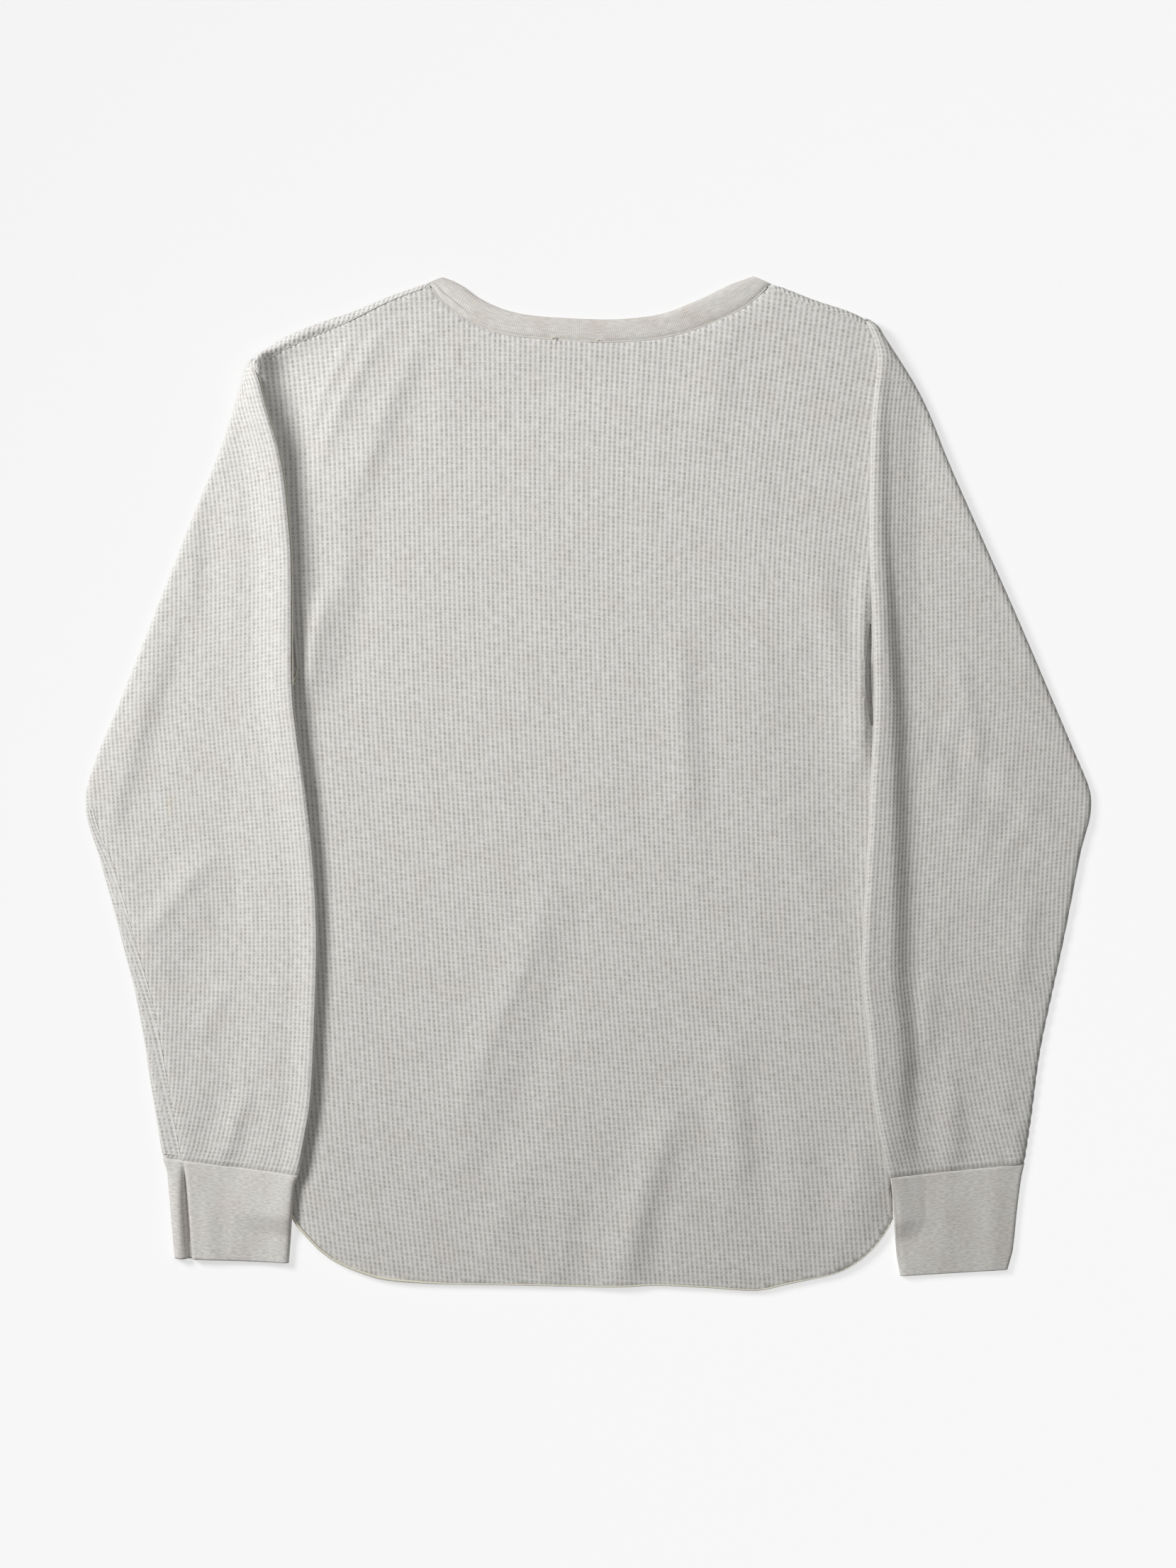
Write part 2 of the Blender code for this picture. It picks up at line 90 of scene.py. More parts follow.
def feed(node, sockets):
    """Sets a node's sockets, each to a value or to what feeds it."""
    for name, value in sockets.items():
        if isinstance(value, bpy.types.Node):
            value = next(output for output in value.outputs if output.enabled)
        if isinstance(value, bpy.types.NodeSocket):
            node.id_data.links.new(value, node.inputs[name])
        else:
            node.inputs[name].default_value = value
    return node


def add(material, kind, sockets, **settings):
    node = material.node_tree.nodes.new("ShaderNode" + kind)
    for name, value in settings.items():
        setattr(node, name, value)
    return feed(node, sockets)


def new_material(name, sockets):
    """A material, with these values on its shader, and the shader."""
    material = bpy.data.materials.new(name)
    material.use_nodes = True
    return material, feed(material.node_tree.nodes["Principled BSDF"], sockets)


# %% [markdown]
# ## Cotton and heather yarn
# Cotton has hardly any gloss, but fibre ends stand off its yarn, which gives a soft sheen at its edges
# and a nap on its surface. This yarn is spun from pale, grey and faintly pink fibres, so along each
# course of the knit the tone drifts in short streaks, and from patch to patch between a greenish and a
# pinkish grey. Both drifts are noise in the cloth's own coordinates, which each sheet stores as an
# attribute: metres across and along the flat cloth.

# %% Cotton and heather
STREAK = (0.0055, 0.0011)  # metres: a streak's length along the course, and its height
PATCH = 0.022  # metres across a patch of one tint
FIBRE = 0.0007  # metres between tufts of fibre, coarser than real ones
NAP_HEIGHT = 0.0003  # metres
WHITE = (1, 1, 1, 1)


def cotton(name, roughness, sheen):
    return new_material(name, {"Roughness": roughness, "IOR": 1.45, "Specular IOR Level": 0.15,
                               "Sheen Weight": sheen, "Sheen Roughness": 0.6})


def heather(material, cloth, pale, dark, pink, streaks, streak_size=STREAK):
    """The colour of marled cotton at each point of the cloth."""
    per_metre = (1 / streak_size[0], 1 / streak_size[1], 0)
    along = add(material, "VectorMath", {0: cloth, 1: per_metre}, operation="MULTIPLY")
    streak = add(material, "TexNoise", {"Vector": along, "Scale": 1.0, "Detail": 3.0})
    patch = add(material, "TexNoise", {"Vector": cloth, "Scale": 1 / PATCH, "Detail": 2.0})
    fibre = add(material, "TexNoise", {"Vector": cloth, "Scale": 1 / FIBRE, "Detail": 1.0})
    amount = add(material, "MapRange", {"Value": streak, "From Min": 0.36, "From Max": 0.66,
                                        "To Max": streaks})
    tone = add(material, "Mix", {0: amount, 6: colour(pale), 7: colour(dark)}, data_type="RGBA")
    warm = add(material, "MapRange", {"Value": patch, "From Min": 0.44, "From Max": 0.64, "To Max": 0.6})
    tinted = add(material, "Mix", {0: warm, 6: tone, 7: colour(pink)}, data_type="RGBA",
                 blend_type="MULTIPLY")
    speck = add(material, "MapRange", {"Value": fibre, "From Min": 0.3, "From Max": 0.7,
                                       "To Min": 0.93, "To Max": 1.05})
    return add(material, "VectorMath", {0: tinted, 1: speck}, operation="MULTIPLY")


def dress(material, shader, cloth, tone, relief, nap, strength):
    """Gives the shader a cloth's tone, and its relief with the nap of fibre ends added to it."""
    fuzz = add(material, "TexNoise", {"Vector": cloth, "Scale": 1 / FIBRE, "Detail": 2.0})
    rough = add(material, "Math", {0: fuzz, 1: nap, 2: relief}, operation="MULTIPLY_ADD")
    bump = add(material, "Bump", {"Height": rough, "Distance": NAP_HEIGHT, "Strength": strength})
    feed(shader, {"Base Color": tone, "Normal": bump})
    return material


# %% [markdown]
# ## Waffle knit
# Waffle, or thermal, knit has tucks that draw the cloth into a grid: raised wales run up the garment,
# thinner raised courses cross them, and between them lie pits that hold warm air. The sheets have those
# pits in their mesh. The material adds what is finer: rounder wales and the loops of yarn on them. It
# also has painted shade: the yarn's colour is darkened in each pit, standing in for the shadow where the
# yarn lies deeper. The left sleeve also has a faint old mark.

# %% Waffle cotton
BODY_CELL = (3.2, 3.14)  # mm from wale to wale, and from course to course
SLEEVE_CELL = (2.95, 2.9)
PIT_DEPTH = 0.55  # mm
PIT_SIDES = ((0.06, 0.48), (0.0, 0.38))  # shares of a cell off a wale and a course, where the painted pit shade and the pits' dip in the bump set in
LOOPS_PER_CELL = 4  # loops of yarn along a wale for each pit; the real ones are about half this size
STAIN_MIDDLE = (-0.280, -0.0135, 0.008)  # metres
STAIN_REACH = (0.006, 0.016, 0.006)  # metres
STAIN_EDGE = 260.0  # ragged spots along the mark's edge in a metre


def stained(material, base):
    """The cloth's colour with the mark, which only the upper layer of the left sleeve has."""
    place = add(material, "TexCoord", {}).outputs["Object"]
    off = add(material, "VectorMath", {0: place, 1: STAIN_MIDDLE}, operation="SUBTRACT")
    share = add(material, "VectorMath", {0: off, 1: STAIN_REACH}, operation="DIVIDE")
    far = add(material, "VectorMath", {0: share}, operation="LENGTH")
    ragged = add(material, "TexNoise", {"Vector": place, "Scale": STAIN_EDGE, "Detail": 2.0})
    edge = add(material, "Math", {0: ragged, 1: 0.9, 2: far}, operation="MULTIPLY_ADD")
    amount = add(material, "MapRange", {"Value": edge, "From Min": 0.6, "From Max": 1.5,
                                        "To Min": 0.5, "To Max": 0.0})
    return add(material, "Mix", {0: amount, 6: base, 7: colour("#f6e3c4")}, data_type="RGBA",
               blend_type="MULTIPLY")


def waffle_cotton(name, cell, finish=lambda material, base: base):
    """Tuck-knitted cotton: a pale grid of rounded, matt wales, with painted shade greying the pits between
    them.
    """
    material, shader = cotton(name, 0.95, 0.12)
    cloth = add(material, "Attribute", {}, attribute_name="cloth").outputs["Vector"]
    per_metre = (1 / (cell[0] * MM), 1 / (cell[1] * MM), 0)
    count = add(material, "VectorMath", {0: cloth, 1: per_metre}, operation="MULTIPLY")
    across, along = add(material, "SeparateXYZ", {0: count}).outputs[:2]
    off = []
    for counted, (start, end) in zip((across, along), PIT_SIDES):
        far = add(material, "Math", {0: counted, 1: 0.5}, operation="PINGPONG")
        off.append(add(material, "MapRange", {"Value": far, "From Min": start, "From Max": end},
                       interpolation_type="SMOOTHSTEP"))
    # Painted shade: how much each pit's colour is darkened, most where it lies off both a wale and a
    # course, and unevenly from cell to cell.
    deep = add(material, "Math", {0: off[1], 1: 0.6, 2: 0.4}, operation="MULTIPLY_ADD")
    between = add(material, "Math", {0: off[0], 1: deep}, operation="MULTIPLY")
    uneven = add(material, "TexNoise", {"Vector": count, "Scale": 0.55, "Detail": 2.0})
    uneven_painted_shade = add(material, "MapRange", {"Value": uneven, "From Min": 0.3, "From Max": 0.7,
                                     "To Min": 0.45, "To Max": 1.15})
    pit = add(material, "Math", {0: between, 1: uneven_painted_shade}, operation="MULTIPLY")
    # The painted shade itself: in the pits the yarn's colour is multiplied towards this grey.
    shade = add(material, "Mix", {0: pit, 6: WHITE, 7: colour("#cacac7")}, data_type="RGBA")
    yarn = heather(material, cloth, "#dfdeda", "#cdccc9", "#fcf8f8", 0.9)
    base = add(material, "VectorMath", {0: yarn, 1: shade}, operation="MULTIPLY")
    loops = add(material, "Math", {0: along, 1: 0.5 / LOOPS_PER_CELL}, operation="PINGPONG")
    height = add(material, "Math", {0: loops, 1: 0.9}, operation="MULTIPLY")
    relief = add(material, "Math", {0: height, 1: between}, operation="SUBTRACT")
    return dress(material, shader, cloth, finish(material, base), relief, 0.5, 0.6)


body_waffle = waffle_cotton("waffle_cotton_body", BODY_CELL)
sleeve_waffle = waffle_cotton("waffle_cotton_sleeves", SLEEVE_CELL, stained)
print("waffle cells in mm: body", BODY_CELL, "sleeves", SLEEVE_CELL)

# %% [markdown]
# ## Reading the solids
# A solid can be asked three things. A plane cut through its edges tells how far it reaches there, which
# gives the outline. A ray cast at it tells where its surface is. And a list of folds adds the finer
# creases that the solids leave out: each runs from one point to another along a gentle bow.

# %% Planes, rays and folds
RAY_START = 60.0  # mm from a point to where its ray starts
FOLD_FADE = 0.3  # share of a fold's length over which each of its ends dies out


def mesh_of(node):
    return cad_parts[node].data


def edges_of(node):
    """Both ends of every edge of a solid, in mm."""
    mesh = mesh_of(node)
    points = np.empty(len(mesh.vertices) * 3, np.float32)
    mesh.vertices.foreach_get("co", points)
    ends = np.empty(len(mesh.edges) * 2, np.int32)
    mesh.edges.foreach_get("vertices", ends)
    return points.reshape(-1, 3)[ends.reshape(-1, 2)].astype(float) / MM


def cut_through(edges, normal, offset):
    """The points where a plane crosses the edges."""
    side = edges @ np.array(normal, float) - offset
    crossed = side[:, 0] * side[:, 1] < 0
    share = (side[crossed, 0] / (side[crossed, 0] - side[crossed, 1]))[:, None]
    return edges[crossed, 0] * (1 - share) + edges[crossed, 1] * share


def settle(mesh, points, inward):
    """Points in mm moved along their inward directions until they meet the mesh."""
    solid = bmesh.new()
    solid.from_mesh(mesh)
    tree = BVHTree.FromBMesh(solid)
    solid.free()
    settled = []
    inward = np.broadcast_to(inward, points.shape)
    for point, direction in zip(points.reshape(-1, 3), inward.reshape(-1, 3)):
        start = Vector((point - direction * RAY_START) * MM)
        hit = tree.ray_cast(start, Vector(direction))[0] or tree.find_nearest(Vector(point * MM))[0]
        settled.append(hit / MM)
    return np.array(settled).reshape(points.shape)


def smooth(t):
    """Rises softly from 0 to 1 as t does."""
    t = np.clip(t, 0.0, 1.0)
    return t * t * (3 - 2 * t)


def fold_height(folds, x, y):
    """What a list of folds adds: x, y, x, y, bow to the right, height, and width to the left and right."""
    total = np.zeros_like(x)
    for x0, y0, x1, y1, bow, height, left, right in folds:
        run_x, run_y = x1 - x0, y1 - y0
        length = np.hypot(run_x, run_y)
        t = ((x - x0) * run_x + (y - y0) * run_y) / length**2
        away = ((y - y0) * run_x - (x - x0) * run_y) / length - bow * 4 * t * (1 - t)
        width = np.where(away > 0, right, left)
        ends = smooth(t / FOLD_FADE) * smooth((1 - t) / FOLD_FADE)
        total += height * ends * np.exp(-((away / width) ** 2))
    return total


def columns_at(table, places):
    """A table's columns, read off at places along its first one."""
    rows = np.array(sorted(table), float)
    return [np.interp(places, rows[:, 0], column) for column in rows[:, 1:].T]


# %% Even grids and lines
def soften(values, passes, used=None):
    """Evens out a grid of values a little, each point with its neighbours that are in use."""
    used = np.ones(values.shape) if used is None else used.astype(float)
    for _ in range(2 * passes):  # down its columns, and then, turned over, along its rows
        total, weight = 2 * values * used, 2 * used
        for here, beside in ((slice(-1), slice(1, None)), (slice(1, None), slice(-1))):
            total[here] += values[beside] * used[beside]
            weight[here] += used[beside]
        values = np.where(weight > 0, total / np.maximum(weight, 1e-9), values).T
        used = used.T
    return values


def run_of(lines):
    """How far each point lies along its line. The first axis goes along the lines."""
    steps = np.linalg.norm(np.diff(lines, axis=0), axis=-1)
    return np.concatenate([np.zeros((1, *steps.shape[1:])), np.cumsum(steps, axis=0)])


def points_at(line, run, wanted):
    """The points of a line at the wanted places of its run."""
    return np.stack([np.interp(wanted, run, line[:, axis]) for axis in range(3)], axis=1)


def evened(lines, step):
    """The lines with points at about equal steps along them, and that step."""
    runs = run_of(lines)
    count = round(runs[-1].max() / step) + 1
    result = [points_at(lines[:, i], run, np.linspace(0, run[-1], count)) for i, run in enumerate(runs.T)]
    return np.stack(result, axis=1), runs[-1].mean() / (count - 1)


# %% [markdown]
# ## Making a sheet of knit
# A sheet starts as a grid with a face for each pit of the waffle, whose crossings are then put where they
# lie. Poking a face puts a vertex in its middle, and pushing that vertex in makes the pit. Faces outside
# the cut are deleted, and extruding the sheet's open edge gives it the thickness of its wall. A narrow
# strip with aslant knit gets a finer grid, with the pits pressed into it.

# %% Sheets
KNIT_WALL = 1.5  # mm


def finish_mesh(name, bm, material, replaced=None):
    """The bmesh as a named piece with this material, which rides on the top and hides the solid it
    replaces.
    """
    mesh = bpy.data.meshes.new(name)
    bm.to_mesh(mesh)
    bm.free()
    mesh.shade_smooth()
    mesh.materials.append(material)
    piece = put(name, mesh)
    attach(piece, "root")
    if replaced:
        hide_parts(replaced)
    print(f"{name}: {sum(len(face.vertices) - 2 for face in mesh.polygons)} triangles")
    return piece


def sheet_mesh(places, cloth, kept=None, outward=(0, 0, 1)):
    """A grid whose points lie at places, in mm, and hold their place in the flat cloth, in metres."""
    rows, columns = places.shape[0] - 1, places.shape[1] - 1
    bm = bmesh.new()
    bmesh.ops.create_grid(bm, x_segments=columns, y_segments=rows, size=1)
    layer = bm.verts.layers.float_vector.new("cloth")
    at = {}
    for vert in bm.verts:
        i, j = round((vert.co.x + 1) / 2 * columns), round((vert.co.y + 1) / 2 * rows)
        at[vert] = (j, i)
        vert.co = places[j, i] * MM
        vert[layer] = (*cloth[j, i], 0)
    if kept is not None:
        outside = [f for f in bm.faces if not kept[tuple(map(min, zip(*[at[v] for v in f.verts])))]]
        bmesh.ops.delete(bm, geom=outside, context="FACES")
    bmesh.ops.remove_doubles(bm, verts=bm.verts, dist=1e-6)
    bm.normal_update()
    if sum(face.normal.dot(outward) * face.calc_area() for face in bm.faces) < 0:
        bmesh.ops.reverse_faces(bm, faces=bm.faces)
    return bm


def add_rim(bm, inward=None):
    """The thickness of the cloth, all along the sheet's open edge."""
    bm.normal_update()
    edges = [edge for edge in bm.edges if edge.is_boundary]
    rim = bmesh.ops.extrude_edge_only(bm, edges=edges)["geom"]
    new = {item for item in rim if isinstance(item, bmesh.types.BMVert)}
    for vert in new:
        old = next(edge.other_vert(vert) for edge in vert.link_edges if edge.other_vert(vert) not in new)
        vert.co += (inward or -old.normal.normalized()) * KNIT_WALL * MM


# %% Pits of the waffle
STRIP_STEP = 0.75  # mm between the points of a strip with its own pits
STRIP_PIT_SIDES = ((0.12, 0.3), (0.08, 0.26))  # the same in the mesh: a flat top, then the slope's width


def poke_pits(bm):
    """A pit in every face of a sheet, whose middle gets the mean of its corners' places in the cloth."""
    layer = bm.verts.layers.float_vector["cloth"]
    corners = set(bm.verts)
    poked = bmesh.ops.poke(bm, faces=bm.faces[:], offset=-PIT_DEPTH * MM, center_mode="MEAN")
    for vert in poked["verts"]:
        around = [edge.other_vert(vert) for edge in vert.link_edges]
        vert[layer] = sum((other[layer] for other in around if other in corners), Vector()) / len(around)


def outward_of(places):
    """The outward direction at each point of a grid, whose upper points face up."""
    normal = np.cross(np.gradient(places, axis=1), np.gradient(places, axis=0))
    normal /= np.maximum(np.linalg.norm(normal, axis=2), 1e-9)[:, :, None]
    return normal * np.sign((normal[:, :, 2] * (places[:, :, 2] - places[:, :, 2].mean())).sum())


def with_pits(places, cloth, cell, depth, lift):
    """A strip's fine grid, lifted off its solid, with the waffle's pits pressed into it."""
    pit = 1.0
    for axis, (top, slope) in enumerate(STRIP_PIT_SIDES):
        away = np.abs((cloth[..., axis] / (cell[axis] * MM) + 0.5) % 1 - 0.5)
        pit = pit * smooth((away - top) / slope)
    return places + outward_of(places) * (lift - pit * depth)[:, :, None]


def turned(across, along, degrees):
    """Places in the flat cloth, in metres, for a grid cut at an angle to the grain."""
    flat = np.stack(np.meshgrid(across, along), axis=2) * MM
    cosine, sine = np.cos(np.radians(degrees)), np.sin(np.radians(degrees))
    return flat @ np.array([[cosine, -sine], [sine, cosine]])


# %% [markdown]
# ## The back panel
# The back is cut on the straight of the knit, but no jersey top hangs quite straight after a few washes:
# its wales fan out at the shoulders and lean a little below, and its courses dip to the right. Two short
# tables give those angles, and adding them up over the panel warps the grid of the knit. Then the grid is
# cut to the solid's outline, laid on it with rays from above, and creased.

# %% The knit's grain
PANEL_REACH = (240, 380)  # mm from the panel's middle that the grid covers, across and along
PANEL_PASSES = 4  # how often the solid's facets are evened out
GRAIN_ACROSS = (-176.0, -5.0, 153.0)  # mm: the places of the tables' left, middle and right columns
GRAIN_BEYOND = 0.4  # share of a column's width over which the angles go on changing past the outer ones
# Height on the body in mm, then the angle in degrees at the left, the middle and the right
WALE_LEAN = (
    (-292, -7.0, -4.5, -5.0), (-221, -3.5, -5.1, -6.0), (-149, -3.2, -5.0, -5.0), (-78, -3.2, -3.5, -2.8),
    (-7, -4.5, -2.6, -0.7), (65, -2.0, -1.7, -1.2), (136, -1.6, -0.9, 0.7), (207, -2.0, 0.2, 6.1),
    (279, -5.5, 1.7, 8.3),
)
COURSE_DIP = (
    (-292, 8.5, 3.0, 1.0), (-221, 8.0, 3.0, 1.0), (-149, 7.0, 3.5, 2.0), (-78, 6.0, 3.5, 3.0),
    (-7, 5.5, 4.0, 4.0), (65, 4.5, 4.3, 4.5), (136, -3.0, 5.0, 10.0), (207, -6.0, 4.0, 13.0),
    (279, -7.5, 5.0, 13.0),
)


def slant(table, x, y):
    """The tangent of a table's angle at each place."""
    low, mid, high = columns_at(table, y)
    left, middle, right = GRAIN_ACROSS
    before = np.clip((x - left) / (middle - left), -GRAIN_BEYOND, 1)
    after = np.clip((x - middle) / (right - middle), 0, 1 + GRAIN_BEYOND)
    return np.tan(np.radians(np.where(x < middle, low + (mid - low) * before, mid + (high - mid) * after)))


def grained(across, along):
    """Where each crossing of the flat knit comes to lie, once the grain has drifted."""
    flat_x, flat_y = np.meshgrid(across, along)
    shift = np.cumsum(slant(WALE_LEAN, flat_x, flat_y) * (along[1] - along[0]), axis=0)
    drop = np.cumsum(slant(COURSE_DIP, flat_x, flat_y) * (across[1] - across[0]), axis=1)
    return flat_x + shift - shift[len(along) // 2], flat_y - drop + drop[:, len(across) // 2][:, None]


# %% Cutting a panel to its solid's outline
OUTLINE_STEP = 0.7  # mm


def outline_of(node, trimmed=lambda x: 0.0):
    """A flat panel's outline: how far its solid reaches up and out, less what is trimmed off its top."""
    edges = edges_of(node)
    low, high = edges.min(axis=(0, 1)), edges.max(axis=(0, 1))
    across = np.arange(low[0] + 0.05, high[0], OUTLINE_STEP)
    along = np.arange(low[1] + 0.05, high[1], OUTLINE_STEP)
    up = np.array([[f(cut_through(edges, (1, 0, 0), x)[:, 1]) for f in (np.min, np.max)] for x in across])
    out = np.array([[f(cut_through(edges, (0, 1, 0), y)[:, 0]) for f in (np.min, np.max)] for y in along])
    up[:, 1] -= trimmed(across)
    return across, up, along, out


def cut_to(outline, x, y, opening=()):
    """Which cells of a grid are inside the outline, with the crossings round them moved onto it."""
    middle_x, middle_y = [(g[1:, 1:] + g[:-1, 1:] + g[1:, :-1] + g[:-1, :-1]) / 4 for g in (x, y)]
    across, up, along, out = outline
    low, high = [np.interp(middle_x, across, ends) for ends in up.T]
    left, right = [np.interp(middle_y, along, ends) for ends in out.T]
    kept = (middle_y > low) & (middle_y < high) & (middle_x > left) & (middle_x < right)
    rim = [(a, h) for a, pair in zip(across, up) for h in pair]
    rim += [(a, h) for h, pair in zip(along, out) for a in pair if h < np.interp(a, across, up[:, 1]) + 0.1]
    if opening:
        lowest, highest = opening[0][0], opening[-1][0]
        left, right = columns_at(opening, middle_y)
        kept &= ~((middle_y > lowest) & (middle_y < highest) & (middle_x > left) & (middle_x < right))
        levels = np.arange(lowest, highest, OUTLINE_STEP)
        rim += [(a, h) for h, *sides in zip(levels, *columns_at(opening, levels)) for a in sides]
    tree = KDTree(len(rim))
    for index, (a, h) in enumerate(rim):
        tree.insert((a, h, 0), index)
    tree.balance()
    around = np.zeros(x.shape, int)
    for rows in (slice(1, None), slice(None, -1)):
        for columns in (slice(1, None), slice(None, -1)):
            around[rows, columns] += kept
    for j, i in np.argwhere((around > 0) & (around < 4)):
        x[j, i], y[j, i] = tree.find((x[j, i], y[j, i], 0))[0][:2]
    return kept, around > 0


def lay_panel(name, node, face, outline, folds, opening=()):
    """A panel of waffle knit laid on the upper (1) or lower (-1) face of its solid."""
    halves = [round(reach / size) for reach, size in zip(PANEL_REACH, BODY_CELL)]
    across, along = [np.arange(-half, half + 1) * size for half, size in zip(halves, BODY_CELL)]
    x, y = grained(across, along)
    kept, used = cut_to(outline, x, y, opening)
    z = np.zeros(x.shape)
    points = np.stack([x[used], y[used], z[used]], axis=1)
    z[used] = settle(mesh_of(node), points, (0.0, 0.0, -face))[:, 2]
    z = soften(z, PANEL_PASSES, used) + fold_height(folds, x, y)
    flat = np.stack(np.meshgrid(across * MM, along * MM), axis=2)
    bm = sheet_mesh(np.stack([x, y, z], axis=2), flat, kept, (0, 0, face))
    poke_pits(bm)
    add_rim(bm, Vector((0, 0, -face)))
    return finish_mesh(name, bm, body_waffle, node)


# %% [markdown]
# ## Creases, and the opening at the armpit
# Cloth that is laid down by hand keeps soft creases: one runs across the lower back, others down from the
# shoulders, and the cloth rises towards the left sleeve's fold. Each is a row of numbers, as a raised or
# sunken line with soft sides. Near the right armpit the back's edge gapes beside the sleeve, so a narrow
# piece is left out there. A plain flat panel is enough for the front, which lies beneath.

# %% The back and the front
SHOULDER_STRIP = (  # place across in mm, width of the front's cloth that rolls over the shoulder
    (-228, 6.0), (-204, 8.0), (-185, 8.0), (-167, 6.5), (-150, 4.4), (-136, 3.4), (-109, 2.0), (-108, 0.0),
    (123, 0.0), (124, 3.0), (150, 4.2), (184, 4.2), (198, 3.0),
)
ARMPIT_OPENING = (  # where the back's edge gapes: height, its left side and its right side
    (36, 190.2, 191.0), (43, 188.8, 191.2), (50.5, 187.2, 191.1), (65, 185.6, 189.9), (79, 185.6, 189.7),
    (93, 187.0, 190.2), (102, 188.4, 190.2), (108, 189.0, 189.9),
)
# From x, y to x, y, bow to the right, height, and the width of its left and its right side, all in mm
BACK_CREASES = (
    (-12, -46, -96, -268, 2, -1.0, 15, 9),
    (188, 156, 188, -6, -3.0, 3.4, 8, 2.2),
    (-247, 269, -172, 315, 0, 3.2, 9, 3),
    (-241, 350, -193, 62, 8.0, 6.0, 3, 13),
    (-241, 340, -207, 196, 3.0, 3.5, 3, 12),
    (-217, 334, -197, 190, 0, -4.5, 6, 26),
    (-172, 140, -191, 46, -3, 1.8, 5, 7),
    (-12, -54, -98, -245, 0, 0.68, 15, 6),
    (58, -212, 17, -340, 3, 0.63, 11, 9),
    (-8, -262, -20, -350, 0, 0.41, 13, 5),
    (98, -183, 107, -272, 0, 0.54, 12, 5),
    (155, 138, 191, -16, 3, 0.54, 9, 8),
    (140, -2, 174, -72, 4, 0.54, 12, 5),
    (168, -90, 176, -150, 0, 0.41, 9, 6),
    (64, 118, 70, -40, -2, 0.41, 10, 5),
    (-170, 138, -189, 50, -2, 0.54, 5, 6),
    (-128, 318, -186, 200, -5, 1.2, 6, 5),
    (-148, 312, -191, 218, -5, 1.0, 5, 4),
    (-99, 318, -158, 180, -6, 1.0, 8, 7),
    (202, -228, 176, -312, 4, 0.54, 8, 8),
    (-112, 290, -52, 238, -7, 0.23, 5, 9),
    (-56, 240, 66, 252, -5, 0.23, 9, 5),
    (62, 254, 110, 314, 6, 0.23, 9, 5),
    (-36, 210, -24, 60, 0, 0.23, 14, 14),
    (18, 60, 8, -90, 0, 0.23, 16, 12),
    (108, 250, 120, 120, 0, 0.27, 14, 10),
)


def strip_width(x):
    return columns_at(SHOULDER_STRIP, x)[0]


back_outline = outline_of("back_panel", strip_width)
back = lay_panel("back", "back_panel", 1, back_outline, BACK_CREASES, ARMPIT_OPENING)
front = lay_panel("front", "front_panel", -1, outline_of("front_panel"), ())

# %% [markdown]
# ## Sleeves
# A sleeve is a tube of knit pressed flat: over the top, round the fold by the outer edge, and back
# underneath. Its wales run along the fold beside the body, so a cell of the grid is counted from that
# fold, and they run out over the outer edge, where the sleeve narrows. For each course a plane cuts the
# solid, which gives the sleeve's two folds there. Rays cast inwards from a flat ring round them then find
# the surface, and the waffle's crossings are set out along the ring at their true distance.

# %% The rings of a tube
TOP_STATIONS, TURN_STATIONS, UNDER_STATIONS = 46, 9, 22  # rays over the top, round half a fold, beneath
FOLD_RADIUS = 2.6  # mm
FOLD_LINE = 195.0  # mm from the centre line, where a course's height is counted

# For each tube, the height of a course at the fold beside the body, and its rise for each mm outwards
COURSES = {
    "left_sleeve": (
        (-260.6, 0.12), (-206, 0.07), (-154, 0.03), (-102, -0.01), (-12, -0.08), (70, -0.14),
        (200, -0.165), (222, -0.13), (250, -0.06), (277.5, 0.0),
    ),
    "right_sleeve": (
        (-263, 0.1), (-202, 0.158), (-130, 0.16), (-91, 0.135), (-25, 0.09), (107, 0.07), (222, 0.04),
        (269, 0.0), (288, -0.08), (301.6, -0.12),
    ),
    "left_cuff": ((-321.2, 0.04), (-315, 0.1), (-262.1, 0.12)),
    "right_cuff": ((-330.7, 0.06), (-318, 0.064), (-264.9, 0.1)),
}


def courses_of(node, step, low=-np.inf, high=np.inf):
    """The height and the rise of each course of a tube, from its lower end up."""
    heights = [row[0] for row in COURSES[node]]
    start, end = min(heights), max(heights)
    heights = np.linspace(start, end, round((end - start) / step) + 1)
    return [row for row in zip(heights, *columns_at(COURSES[node], heights)) if low < row[0] < high]


def side_of(node):
    return -1 if node.startswith("left") else 1


def ring_stations(inner, outer, height_inner, height_outer, radius):
    """A flat ring round a section, from its inner fold over the top: places across, heights, directions."""
    near, far = inner + radius, outer - radius
    parts = (  # from and to a place across, from and to an angle, how many stations, and which of them
        (near, near, 180, 90, TURN_STATIONS, slice(None)),
        (near, far, 90, 90, TOP_STATIONS, slice(1, -1)),
        (far, far, 90, -90, 2 * TURN_STATIONS, slice(None)),
        (far, near, -90, -90, UNDER_STATIONS, slice(1, -1)),
        (near, near, -90, -180, TURN_STATIONS, slice(None, -1)),
    )
    out = np.concatenate([np.linspace(a, b, count)[used] for a, b, _, _, count, used in parts])
    angle = np.concatenate([np.linspace(a, b, count)[used] for _, _, a, b, count, used in parts])
    angle = np.radians(angle)
    share = (out - inner) / (outer - inner)
    return out, height_inner * (1 - share) + height_outer * share, np.cos(angle), np.sin(angle)


# %% [markdown]
# ## How high the folds stand
# A real fold is springy: it stands up where cloth is pushed together, leans over what lies beside it, and
# sinks at the cuff. The solids leave it lower, so two tables raise the rings.

